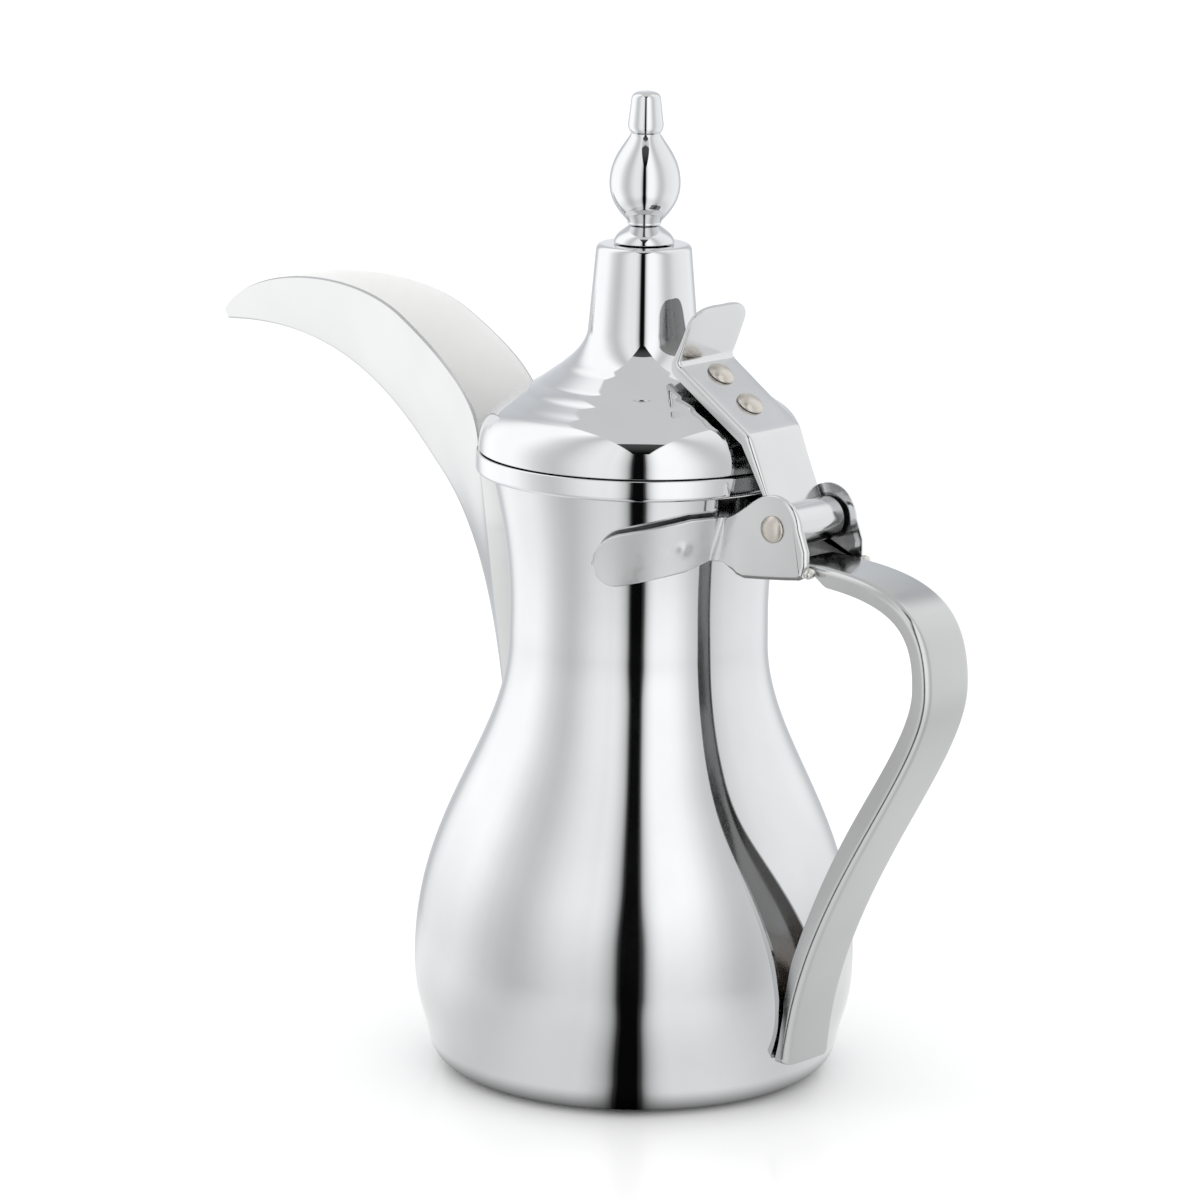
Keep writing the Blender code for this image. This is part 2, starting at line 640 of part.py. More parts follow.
def make_finial_bulb(material):
    """Pear-shaped bulb, bored through for the stud."""
    low = CHIMNEY_TOP_Z + GAP + FOOT_TALL + GAP
    high = TOTAL_TALL - 0.0114
    outline = [(STUD_BORE_R, low), (0.0042, low), (0.0044, low + 0.0008)]
    outline += curve(outline[-1], (0.0062, low + 0.0030), (BULB_R, BULB_Z - 0.0052),
                     (BULB_R, BULB_Z), 5)
    outline += curve((BULB_R, BULB_Z), (BULB_R, BULB_Z + 0.0062), (0.0068, high - 0.0034),
                     (0.0042, high - 0.0006), 5)
    outline += [(0.0040, high), (STUD_BORE_R, high)]
    return add_piece("finial_bulb", turned(outline, 24), material)


def make_finial_tip(material):
    """Cap nut that clamps the finial down on its stud."""
    low = TOTAL_TALL - 0.0114 + GAP
    bore_top = TOTAL_TALL - 0.0034
    outline = [(0.0, bore_top), (STUD_BORE_R, bore_top), (STUD_BORE_R, low), (0.0041, low)]
    outline += [(TIP_R, low + 0.0019), (0.0046, low + 0.0040), (0.0041, low + 0.0082)]
    outline += arc((0.0029, TOTAL_TALL - 0.0011), 0.0011, 20, 90, 3) + [(0.0, TOTAL_TALL)]
    return add_piece("finial_tip", turned(outline, 16), material)


def make_finial_stud(material):
    return add_piece("finial_stud", rod(STUD_R, 0.2215, TOTAL_TALL - 0.0038, 12), material)


def make_finial_washer(material):
    top = CHIMNEY_TOP_Z - LID_SHEET - GAP
    outline = [(STUD_BORE_R, top - 0.0009), (0.0045, top - 0.0009), (0.0045, top)]
    return add_piece("finial_washer", turned(outline + [(STUD_BORE_R, top)], 16), material)


def make_finial_nut(material):
    """Hexagon nut on the stud inside the chimney."""
    top = CHIMNEY_TOP_Z - LID_SHEET - GAP - 0.0009 - GAP
    corner_r, tall = 0.0040, 0.0030
    nut = add_piece("finial_nut", rod(corner_r, top - tall, top, 6), material)
    boolean(nut, add_cutter("nut_bore", rod(STUD_BORE_R, 0.200, 0.240, 12)), "DIFFERENCE")
    return nut


# ---- Assembly -----------------------------------------------------------------------------
def main():
    clear_scene()
    polished = metal("polished_steel", (0.90, 0.91, 0.92), 0.06)
    handle_steel = metal("handle_steel", (0.86, 0.87, 0.88), 0.10)
    pin_steel = metal("pin_steel", (0.62, 0.59, 0.55), 0.32)
    plain = metal("plain_steel", (0.70, 0.71, 0.72), 0.28)
    braze = metal("braze", (0.78, 0.77, 0.74), 0.30)

    make_body_shell(polished)
    make_base_plate(polished)
    make_rim_band(polished)
    neck_trim = make_neck_trim()
    make_spout_shell(polished, neck_trim)
    make_hinge_bracket(handle_steel, neck_trim)
    make_hinge_pin(pin_steel)
    make_handle_channel(handle_steel)
    make_handle_weld("handle_weld_left", -1, braze)
    make_handle_weld("handle_weld_right", 1, braze)
    make_foot_weld(braze)

    hinge_axis = bpy.data.objects.new("lid_hinge_axis", None)
    hinge_axis.location = PIN
    bpy.context.scene.collection.objects.link(hinge_axis)
    lid_pieces = [
        make_lid_shell(polished),
        make_lid_seat_ring(plain),
        make_lid_lever(handle_steel),
        make_lever_rivet("upper_lever_rivet", RIVET_AT[0], pin_steel),
        make_lever_rivet("lower_lever_rivet", RIVET_AT[1], pin_steel),
        make_finial_foot(polished),
        make_finial_bulb(polished),
        make_finial_tip(polished),
        make_finial_stud(plain),
        make_finial_washer(plain),
        make_finial_nut(plain),
    ]
    for piece in lid_pieces:
        piece.parent = hinge_axis
        piece.matrix_parent_inverse = Matrix.Translation(-PIN)


main()
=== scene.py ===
"""Looks of the stainless dallah: fine surfaces, polished metals and a white light tent.

Metres, in the frame of the CAD part: origin at the centre of the base, spout along -X,
handle along +X, hinge axis along Y.
"""

import json
from itertools import repeat
from math import asin, atan2, cos, degrees, exp, hypot, pi, radians, sin, sqrt, tan

import bmesh
import bpy
from mathutils import Matrix, Vector
from mathutils.geometry import interpolate_bezier


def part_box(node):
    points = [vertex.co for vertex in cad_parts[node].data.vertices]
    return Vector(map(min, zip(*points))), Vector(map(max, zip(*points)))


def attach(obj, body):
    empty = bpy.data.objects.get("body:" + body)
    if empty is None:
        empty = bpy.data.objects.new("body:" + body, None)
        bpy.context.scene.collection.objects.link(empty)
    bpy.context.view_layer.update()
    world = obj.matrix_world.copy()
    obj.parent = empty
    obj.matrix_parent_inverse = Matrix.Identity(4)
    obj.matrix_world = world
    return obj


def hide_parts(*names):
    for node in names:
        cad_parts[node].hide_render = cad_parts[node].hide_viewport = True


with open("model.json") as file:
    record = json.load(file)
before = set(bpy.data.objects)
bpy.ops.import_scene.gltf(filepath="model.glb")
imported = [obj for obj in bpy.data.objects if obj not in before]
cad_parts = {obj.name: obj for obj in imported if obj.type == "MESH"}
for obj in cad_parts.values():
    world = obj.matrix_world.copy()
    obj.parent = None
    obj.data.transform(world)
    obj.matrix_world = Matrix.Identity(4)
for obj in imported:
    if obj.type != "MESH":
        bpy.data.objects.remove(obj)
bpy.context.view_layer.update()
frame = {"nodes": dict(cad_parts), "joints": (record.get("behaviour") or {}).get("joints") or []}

# ---- Sizes read from the frame
POT, LID = "pot", "lid"
PIN = Vector(frame["joints"][0]["pos_m"])
BODY_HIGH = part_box("body_shell")[1]
RIM_LOW, RIM_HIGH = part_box("rim_band")
LID_LOW, LID_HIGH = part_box("lid_shell")
SEAT_LOW, SEAT_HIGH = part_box("lid_seat_ring")
HANDLE_LOW, HANDLE_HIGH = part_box("handle_channel")
PIN_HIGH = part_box("hinge_pin")[1]
TIP_LOW, TIP_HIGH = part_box("finial_tip")
BULB_LOW, BULB_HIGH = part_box("finial_bulb")
FOOT_LOW, FOOT_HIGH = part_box("finial_foot")

GAP = 0.0003                  # clearance between neighbouring pieces
AROUND = 192                  # sides of every large turned surface

# ---- Pot profile
SHEET = 0.0008
BELLY_R, BELLY_Z = BODY_HIGH.y, 0.0315
BASE_R = 0.0435
KNUCKLE_R, KNUCKLE_Z, KNUCKLE_LEAN = 0.0569, 0.010, 0.15
NECK_R, NECK_Z = 0.0354, 0.120
MOUTH_R, MOUTH_FLARE = 0.0420, 0.28
RIM_R, RIM_BOTTOM_Z, RIM_TOP_Z = RIM_HIGH.y, RIM_LOW.z, RIM_HIGH.z

# ---- Lid profile
LID_SHEET = 0.0009
LID_R, LID_BOTTOM_Z = LID_HIGH.y, LID_LOW.z
SHOULDER = Vector((0.0420, 0.1821))
SHOULDER_SLOPE, SHOULDER_ROUND = 0.67, 0.0040
CONE_END_R = 0.0224
CHIMNEY_FOOT = Vector((0.0148, 0.2061))
CHIMNEY_TOP = Vector((0.01295, LID_HIGH.z))
CHIMNEY_ROUND = 0.0017
# The cone's pressed steps: distance up from the shoulder, and how far the surface's normal
# rises there, in degrees. The surface lies back at each crease.
CONE_TILTS = ((0.0044, 56.0), (0.0054, 58.0), (0.0075, 55.2), (0.0095, 57.2), (0.0112, 57.2),
              (0.0126, 51.7), (0.0150, 58.4), (0.0162, 60.0), (0.0173, 52.0), (0.0185, 53.6),
              (0.0230, 54.0), (0.0247, 48.3), (0.0263, 50.6))

# ---- Spout, in side view
SPOUT_SHEET = 0.0010
KEEL_ROOT, KEEL_MID, KEEL_TIP = (-0.0454, 0.0860), (-0.0717, 0.1578), (-0.1553, 0.1911)
KEEL_HANDLES = ((-0.0484, 0.0969), (-0.0503, 0.1362), (-0.0855, 0.1717), (-0.1061, 0.1960))
EDGE_ROOT, EDGE_MID, EDGE_TIP = (-0.0455, 0.1680), (-0.0762, 0.2014), (-0.1558, 0.1930)
EDGE_HANDLES = ((-0.0465, 0.1800), (-0.0540, 0.1890), (-0.0980, 0.2130), (-0.1420, 0.2080))
SPOUT_HALF, TIP_HALF = 0.0137, 0.0007
KEEL_ROUNDNESS = 0.03
HOLE_R, HOLE_SPREAD, HOLE_PITCH, HOLE_ROWS, LOWEST_HOLE_Z = 0.0024, 0.0042, 0.009, 6, 0.112

# ---- Hinge
HINGE_PLACE = Matrix.Translation(PIN) @ Matrix.Rotation(radians(-90), 4, "X")
EAR_OUT, EAR_SHEET = 0.0128, 0.0012
EAR_ROUND, EAR_FRONT = 0.0091, 0.0385
EAR_EDGE, EAR_LIP = 0.0004, 0.0012     # rounding of its plain edges, and what the lips add
ARM_Z, ARM_HALF, ARM_GAP, ARM_END = 0.1549, 0.0062, 0.0010, radians(69)
ARM_DROOP, ARM_SPREAD = 0.0070, 0.0012
FILLET_R = 0.0026
SPOT_TURN, SPOT_Z, SPOT_R, SPOT_TALL = radians(33), 0.1525, 0.0016, 0.00060
BARREL_R, BARREL_LONG = 0.0058, 0.0214
PIN_HEAD_R, PIN_SHANK_R = 0.0037, 0.0019

# ---- Lever
LEVER_SHEET, LEVER_FLANGE = 0.0010, 0.0033
TAB_WIDE, BEND_WIDE, KNUCKLE_WIDE = 0.0236, 0.0228, 0.0216
TAB_TOP = (0.0280, 0.2150)
LEVER_CREASE, LEVER_BEND = (0.0222, 0.1998), (0.0466, 0.1834)
RIVET_AT = (0.0274, 0.0375)
RIVET_HEAD_R, RIVET_HEAD_TALL, RIVET_SHANK_R = 0.0038, 0.0020, 0.0015
LEVER_ROUND, LEVER_CREASE_R, LEVER_BEND_R = 0.0015, 0.0016, 0.0040

# ---- Handle
HANDLE_WIDE, HANDLE_SHEET, HANDLE_ROUND = HANDLE_HIGH.y - HANDLE_LOW.y, 0.0010, 0.0022
HANDLE_START = (0.0600, 0.1515)
HANDLE_BULGE = (HANDLE_HIGH.x, 0.1222)
HANDLE_FOOT, HANDLE_FOOT_LEAN = (0.0622, 0.0128), 0.06
FOOT_DEPTH = 0.0042
WELD_AT = Vector((0.0682, 0.0117, 0.1497))     # of the far one

# ---- Finial
FOOT_R = FOOT_HIGH.y
BULB_R, BULB_Z = BULB_HIGH.y, 0.2452
TIP_R = TIP_HIGH.y
BORE_R = 0.0022
FINIAL_NECK_R = 0.0042

# ---- Camera and light tent
CAMERA_AZIMUTH = radians(40)
TOWARDS_CAMERA = Vector((sin(CAMERA_AZIMUTH), -cos(CAMERA_AZIMUTH), 0.0))
CAMERA_RIGHT = Vector((cos(CAMERA_AZIMUTH), sin(CAMERA_AZIMUTH), 0.0))
METAL_TINT = 0.72             # how much light the polished metal returns
TENT_LIGHT = 1.32             # light on the floor
TENT_R, TENT_TALL = 0.240, 0.320
CEILING_GREY = 0.553
GAP_MIDDLE = 5.0              # degrees from the front within which the gap isn't widened fully
COOL_FROM_TO = (125.0, 165.0)      # degrees from the front where the light turns cooler
# The near walls' light along their foot, where the floor takes it over.
FOOT_EVENNESS, FOOT_OPENING, FOOT_FADE = 0.25, 1.5, 0.87
# Brightness of the tent's walls and, over it, of the camera's gap: (degrees, level).
PANELS = ((-180, 0.72), (-151, 0.54), (-143, 0.62), (-136, 0.86), (-125, 1.0), (-110, 1.03),
          (-95, 0.99), (-85, 0.88), (-76, 0.73), (-68, 0.625), (-61, 0.565), (-56, 0.56),
          (-50, 0.615), (-42, 0.715), (-35, 0.79), (-28, 0.825), (-20, 0.82), (9, 0.93),
          (20, 0.955), (27, 0.94), (33, 0.87), (40, 0.735), (46, 0.62), (52, 0.555),
          (59, 0.56), (66, 0.63), (75, 0.715), (90, 0.77), (110, 0.80), (134, 0.78),
          (151, 0.50), (180, 0.66))
CAMERA_GAP = ((-18, 0.97), (-14.4, 0.89), (-11, 0.72), (-9, 0.59), (-7.4, 0.38), (-6.3, 0.10),
              (-5.2, 0.003), (2.6, 0.003), (3.5, 0.28), (5.2, 0.62), (7.2, 0.80), (9, 0.92),
              (13, 1.0))
WALL_GREY = 0.575             # what the panels even out to
WHITE, COOL = (1.0, 1.0, 1.0, 1.0), (0.955, 0.985, 1.03, 1.0)


# ---- Curves
def unit(value):
    """The value, held between 0 and 1."""
    return min(1.0, max(0.0, value))


def level_at(marks, place, otherwise, ease=lambda t: t):
    """Level at a place between marks of (place, level), or another one past their ends."""
    for (low, level), (high, next_level) in zip(marks, marks[1:]):
        if low <= place <= high:
            return level + (next_level - level) * ease((place - low) / (high - low))
    return otherwise


def curve(start, start_handle, end_handle, end, steps):
    """Points of one Bezier stretch, without its first point so that stretches chain."""
    corners = [Vector((*point, 0.0)) for point in (start, start_handle, end_handle, end)]
    return [(p.x, p.y) for p in interpolate_bezier(*corners, steps + 1)[1:]]


def chain(start, *stretches):
    """An outline of Bezier stretches of (handle, handle, end, steps), end to end."""
    outline = [start]
    for stretch in stretches:
        outline += curve(start, *stretch)
        start = stretch[2]
    return outline


def extend(outline, *stretches):
    """Carry an outline on through Bezier stretches."""
    outline += chain(outline[-1], *stretches)[1:]


def arc(centre, radius, first, last, steps):
    """Points on a circle from one angle to another, in degrees."""
    angles = [radians(first + (last - first) * i / steps) for i in range(steps + 1)]
    return [(centre[0] + radius * cos(a), centre[1] + radius * sin(a)) for a in angles]


def straight(start, end, steps):
    """Points of a straight stretch, without its first point."""
    start, end = Vector(start), Vector(end)
    return [tuple(start.lerp(end, i / steps)) for i in range(1, steps + 1)]


def tangents(points):
    """Direction of travel at each point of an open outline."""
    pairs = zip(points[:1] + points[:-1], points[1:] + points[-1:])
    return [(Vector(after) - Vector(before)).normalized() for before, after in pairs]


def lengths_along(points):
    """Distance of each point of an outline from its start."""
    lengths = [0.0]
    for first, second in zip(points, points[1:]):
        lengths.append(lengths[-1] + (Vector(second) - Vector(first)).length)
    return lengths


def offset(points, distances):
    """An open outline with each point moved sideways, to the right of the direction of
    travel."""
    return [(x + along.y * distance, y - along.x * distance)
            for (x, y), along, distance in zip(points, tangents(points), distances)]


def rounded(corner_points, radii, steps):
    """A polyline with each inner corner replaced by an arc of the given radius."""
    path = [corner_points[0]]
    for before, corner, after, radius in zip(corner_points, corner_points[1:],
                                             corner_points[2:], radii):
        corner = Vector(corner)
        into = (Vector(before) - corner).normalized()
        away = (Vector(after) - corner).normalized()
        half = into.angle(away) / 2
        reach = radius / tan(half)
        centre = corner + (into + away).normalized() * (radius / sin(half))
        start = corner + into * reach - centre
        sweep = start.angle_signed(corner + away * reach - centre)
        for i in range(steps + 1):
            spoke = Matrix.Rotation(-sweep * i / steps, 2) @ start
            path.append((centre.x + spoke.x, centre.y + spoke.y))
    path.append(corner_points[-1])
    return path


# ---- Mesh building
def turned(outline, segments=AROUND):
    """Revolve an outline of (radius, height) about Z. A point on the axis becomes a pole;
    an outline with no pole is closed back onto its first point."""
    shape = bmesh.new()
    turns = [2 * pi * i / segments for i in range(segments)]
    rings = [[shape.verts.new((radius * cos(a), radius * sin(a), height))
              for a in (turns if radius > 1e-9 else turns[:1])] for radius, height in outline]
    pairs = list(zip(rings, rings[1:]))
    if len(rings[0]) > 1:
        pairs.append((rings[-1], rings[0]))
    for lower, upper in pairs:
        for i in range(segments):
            j = (i + 1) % segments
            corners = [lower[i % len(lower)], lower[j % len(lower)],
                       upper[j % len(upper)], upper[i % len(upper)]]
            face = list(dict.fromkeys(corners))
            if len(face) > 2:
                shape.faces.new(face)
    return shape


def loft(sections):
    """A solid through closed sections with equal point counts, capped at both ends."""
    shape = bmesh.new()
    loops = [[shape.verts.new(point) for point in section] for section in sections]
    for first, second in zip(loops, loops[1:]):
        for i in range(len(first)):
            j = (i + 1) % len(first)
            shape.faces.new((first[i], first[j], second[j], second[i]))
    shape.faces.new(loops[0])
    shape.faces.new(loops[-1])
    return shape


def make_object(name, shape, *materials, place=None):
    bmesh.ops.recalc_face_normals(shape, faces=shape.faces)
    mesh = bpy.data.meshes.new(name)
    shape.to_mesh(mesh)
    shape.free()
    for material in materials:
        mesh.materials.append(material)
    obj = bpy.data.objects.new(name, mesh)
    bpy.context.scene.collection.objects.link(obj)
    if place:
        obj.matrix_world = place
    return obj


def bake(obj, sharp_degrees=32):
    """Apply the modifiers and shade the result smooth apart from its real edges."""
    bpy.context.view_layer.update()
    solved = obj.evaluated_get(bpy.context.evaluated_depsgraph_get())
    mesh = bpy.data.meshes.new_from_object(solved)
    obj.modifiers.clear()
    obj.data = mesh
    mesh.shade_smooth()
    mesh.set_sharp_from_angle(angle=radians(sharp_degrees))
    return obj


def soften(obj, width, segments, limit=40):
    """Round the real edges over a small width."""
    step = obj.modifiers.new("edge", "BEVEL")
    step.width = width
    step.segments = segments
    step.limit_method = "ANGLE"
    step.angle_limit = radians(limit)


def cut(obj, cutter):
    """Cut one object away from another, and drop the cutter."""
    step = obj.modifiers.new("cut", "BOOLEAN")
    step.operation = "DIFFERENCE"
    step.object = cutter
    step.solver = "EXACT"
    bake(obj)
    bpy.data.objects.remove(cutter, do_unlink=True)


def belongs(obj, body, slot, *nodes):
    """The piece rides on a body and is shown in place of CAD nodes, if any are named."""
    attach(obj, body)
    if nodes:
        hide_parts(*nodes)


def turned_piece(name, outline, material, body, slot, *nodes, segments=AROUND, sharp=32,
                 place=None):
    """A finished piece that is one turned surface."""
    piece = make_object(name, turned(outline, segments), material, place=place)
    belongs(bake(piece, sharp), body, slot, *nodes)


# ---- Node helpers
class Graph:
    """Short calls for building a node tree."""

    def __init__(self, owner):
        owner.use_nodes = True
        self.tree = owner.node_tree

    def node(self, kind, *values, **settings):
        """A new node, with values or other nodes' outputs on its first sockets."""
        node = self.tree.nodes.new(kind)
        for key, value in settings.items():
            setattr(node, key, value)
        for socket, value in zip(node.inputs, values):
            self.feed(socket, value)
        return node

    def feed(self, socket, value):
        if hasattr(value, "is_output"):
            self.tree.links.new(value, socket)
        else:
            socket.default_value = value

    def feed_all(self, node, **values):
        """Feed sockets by their names, with underscores for spaces."""
        for name, value in values.items():
            self.feed(node.inputs[name.replace("_", " ")], value)
        return node

    def math(self, operation, *values):
        return self.node("ShaderNodeMath", *values, operation=operation).outputs[0]

    def times(self, first, second):
        return self.math("MULTIPLY", first, second)

    def vector(self, operation, *values):
        node = self.node("ShaderNodeVectorMath", *values, operation=operation)
        return node.outputs["Value" if operation in ("DOT_PRODUCT", "LENGTH") else "Vector"]

    def height(self, vector):
        return self.node("ShaderNodeSeparateXYZ", vector).outputs["Z"]

    def smooth(self, value, low, high, out_low=0.0, out_high=1.0):
        """A smooth step from one level to another as the value goes from low to high."""
        return self.node("ShaderNodeMapRange", value, low, high, out_low, out_high,
                         interpolation_type="SMOOTHSTEP").outputs[0]

    def mix(self, factor, low, high, kind="RGBA"):
        """From one value to another. The mix node has a pair of sockets for each kind."""
        first, result = {"FLOAT": (2, 0), "VECTOR": (4, 1), "RGBA": (6, 2)}[kind]
        node = self.node("ShaderNodeMix", factor, data_type=kind)
        self.feed(node.inputs[first], low)
        self.feed(node.inputs[first + 1], high)
        return node.outputs[result]

    def noise(self, vector, scale, detail=3.0, roughness=0.5):
        node = self.node("ShaderNodeTexNoise")
        self.feed_all(node, Vector=vector, Scale=scale, Detail=detail, Roughness=roughness)
        return node.outputs["Fac"]

    def show(self, factor, otherwise, shader):
        """End the tree in one shader where the factor is 0 and another where it is 1."""
        mix = self.node("ShaderNodeMixShader", factor, otherwise, shader)
        self.feed(self.tree.nodes["Material Output"].inputs["Surface"], mix.outputs[0])


# ---- Metals
PATCH_SCALE, PATCH_SHARE = 45.0, 0.6      # the gloss is part patches, part grain
PATCH_SHADE = 0.965
LOW_COLOUR_Z, FULL_COLOUR_Z = 0.024, 0.060


def metal(name, colour, roughness, spread, grain_scale, grain_depth, stretch=(1, 1, 1),
          low_colour=None, metallic=1.0):
    """Metal with patchy gloss, fine tool marks and a slight change of colour. Near the foot
    of the pot it can shift to a second colour."""
    material = bpy.data.materials.new(name)
    graph = Graph(material)
    place = graph.node("ShaderNodeTexCoord").outputs["Object"]
    patches = graph.noise(place, PATCH_SCALE)
    grain = graph.noise(graph.vector("MULTIPLY", place, stretch), grain_scale,
                        detail=4.0, roughness=0.6)
    haze = graph.math("ADD", graph.times(patches, PATCH_SHARE),
                      graph.times(grain, 1 - PATCH_SHARE))
    darker = tuple(c * PATCH_SHADE for c in colour)
    base = graph.mix(graph.smooth(patches, 0.3, 0.7), (*darker, 1.0), (*colour, 1.0))
    if low_colour:
        high = graph.smooth(graph.height(place), LOW_COLOUR_Z, FULL_COLOUR_Z)
        base = graph.mix(high, (*low_colour, 1.0), base)
    bump = graph.feed_all(graph.node("ShaderNodeBump"), Distance=grain_depth, Height=grain)
    graph.feed_all(material.node_tree.nodes["Principled BSDF"], Base_Color=base,
                   Roughness=graph.smooth(haze, 0.35, 0.65, roughness - spread,
                                          roughness + spread),
                   Normal=bump.outputs["Normal"], Metallic=metallic)
    return material


TINTED = (METAL_TINT, METAL_TINT * 1.010, METAL_TINT * 1.022)
POLISHED = metal("polished_steel", TINTED, 0.045, 0.012, 260.0, 0.0000006, (1, 1, 6))
MIRROR = metal("mirror_steel", TINTED, 0.022, 0.008, 260.0, 0.0000004)
BEAK = metal("beak_steel", (0.665, 0.668, 0.670), 0.10, 0.02, 300.0, 0.0000006)
# Inside of the beak: near-white and partly diffuse, lightened as painted light for the bright tent
# it shows.
BEAK_INSIDE_LIGHTENED = metal("beak_inside_lightened", (0.86, 0.86, 0.855), 0.55, 0.03, 300.0, 0.000001,
                    metallic=0.4)
SATIN = metal("handle_steel", (0.575, 0.58, 0.582), 0.17, 0.03, 420.0, 0.0000012, (1, 3, 1))
PRESSED = metal("pressed_steel", (0.69, 0.696, 0.702), 0.15, 0.04, 420.0, 0.0000012)
ROLLED = metal("rolled_steel", (0.70, 0.706, 0.712), 0.38, 0.05, 420.0, 0.0000012)
# Unpolished steel set much darker than that finish gives: partly its own duller tone, partly
# painted shade on the insides and undersides it lines. Towards the foot of the pot it turns darker
# and browner.
DULL_PAINTED_SHADE = metal("unpolished_painted_shade", (0.33, 0.33, 0.325), 0.22, 0.05, 600.0, 0.0000008,
             low_colour=(0.20, 0.155, 0.12))
RIVETED = metal("pin_steel", (0.62, 0.585, 0.535), 0.30, 0.06, 900.0, 0.000006)
PLAIN = metal("plain_steel", (0.58, 0.585, 0.59), 0.30, 0.06, 500.0, 0.000001, (1, 1, 8))
BRAZE = metal("braze", (0.66, 0.65, 0.62), 0.16, 0.05, 1400.0, 0.00002)


# ---- Pot
def pot_outline():
    """Outer surface of the pot, from the edge of its base up to its mouth. The pulls are the
    lengths of the curve's handles, before and after each point."""
    base_pull, knuckle_pulls, belly_pulls = 0.0101, (0.005, 0.0061), (0.0131, 0.040)
    neck_pulls, mouth_pull, mouth_z = (0.0286, 0.0095), 0.0284, RIM_TOP_Z - GAP
    lean = Vector((sin(KNUCKLE_LEAN), cos(KNUCKLE_LEAN)))
    knuckle = Vector((KNUCKLE_R, KNUCKLE_Z))
    return chain((BASE_R, 0.0),
                 ((BASE_R + base_pull, 0.0), knuckle - lean * knuckle_pulls[0], knuckle, 28),
                 (knuckle + lean * knuckle_pulls[1], (BELLY_R, BELLY_Z - belly_pulls[0]),
                  (BELLY_R, BELLY_Z), 16),
                 ((BELLY_R, BELLY_Z + belly_pulls[1]), (NECK_R, NECK_Z - neck_pulls[0]),
                  (NECK_R, NECK_Z), 64),
                 ((NECK_R, NECK_Z + neck_pulls[1]),
                  (MOUTH_R - MOUTH_FLARE * mouth_pull, mouth_z - mouth_pull),
                  (MOUTH_R, mouth_z), 40))


POT_OUTLINE = pot_outline()
POT_RADII = [(z, r) for r, z in POT_OUTLINE]


def pot_radius(height):
    """Outer radius of the pot at a height above the base."""
    return level_at(POT_RADII, height, POT_OUTLINE[-1][0])


def make_shell(name, outline, outside, outside_rows):
    """A turned shell that is plain on its inside, from a row of the outline on."""
    shell = make_object(name, turned(outline), outside, PLAIN)
    for face in shell.data.polygons:
        face.material_index = int(face.index >= outside_rows * AROUND)
    return shell


def make_body():
    inner = offset(POT_OUTLINE, repeat(-SHEET))
    inner[0] = (BASE_R, SHEET)
    inner[-1] = (POT_OUTLINE[-1][0] - SHEET, POT_OUTLINE[-1][1])
    body = make_shell("pot_body", POT_OUTLINE + inner[::-1], POLISHED, len(POT_OUTLINE) - 1)
    cut(body, make_pouring_holes())
    belongs(body, POT, "polished_steel", "body_shell")


def make_pouring_holes():
    """Strainer holes in the neck, behind the spout: single and paired rows in turn."""
    deep = 0.020
    shape = bmesh.new()
    for row in range(HOLE_ROWS):
        for across in ((0.0,) if row % 2 == 0 else (-HOLE_SPREAD, HOLE_SPREAD)):
            centre = (-NECK_R, across, LOWEST_HOLE_Z + row * HOLE_PITCH)
            place = Matrix.Translation(centre) @ Matrix.Rotation(radians(90), 4, "Y")
            bmesh.ops.create_cone(shape, cap_ends=True, segments=32, radius1=HOLE_R,
                                  radius2=HOLE_R, depth=deep, matrix=place)
    return make_object("pouring_holes", shape)


def make_base():
    """Flat disc with a shallow hollow inside the lip it stands on."""
    edge, thick = BASE_R - GAP, 0.0010
    hollow, lip, fall = 0.0004, 0.0030, 0.002
    outline = [(0.0, hollow), (edge - lip - fall, hollow)]
    extend(outline, ((edge - lip, hollow), (edge - lip, 0.0), (edge - lip + fall / 2, 0.0), 6))
    outline += [(edge, 0.0), (edge, thick), (0.0, thick)]
    turned_piece("pot_base", outline, POLISHED, POT, "polished_steel", "base_plate")


def make_rim():
    """Collar round the mouth, rolled under at the bottom and softened at the top."""
    bottom, top, lip, soft = RIM_BOTTOM_Z, RIM_TOP_Z, 0.0013, 0.0004
    outline = [(pot_radius(bottom) + GAP, bottom)]
    outline += arc((RIM_R - lip, bottom + lip), lip, -90, 0, 12)
    outline += arc((RIM_R - soft, top - soft), soft, 0, 90, 8)
    outline += [(MOUTH_R + GAP, top)]
    turned_piece("pot_rim", outline, MIRROR, POT, "polished_steel", "rim_band", sharp=50)


# ---- Spout
def make_neck_trim():
    """The neck and rim with their clearance, to trim what fits round them."""
    below_rim, above_rim = RIM_BOTTOM_Z - GAP, 0.190
    neck = [(r + GAP, z) for r, z in POT_OUTLINE if BELLY_Z < z < below_rim]
    outline = [(0.0, neck[0][1])] + neck
    outline += [(pot_radius(below_rim) + GAP, below_rim), (RIM_R + GAP, below_rim)]
    outline += [(RIM_R + GAP, above_rim), (0.0, above_rim)]
    return make_object("neck_trim", turned(outline))


def fold(share):
    """Half width of the beak at a share of the way up its wall: a V with a rounded keel."""
    return sqrt(share * (share + 2 * KEEL_ROUNDNESS) / (1 + 2 * KEEL_ROUNDNESS))


def beak_line(root, middle, tip, handles, low_steps=36, high_steps=54):
    """The keel or the edge of the beak in side view, from the neck out to its tip."""
    return chain(root, (*handles[:2], middle, low_steps), (*handles[2:], tip, high_steps))


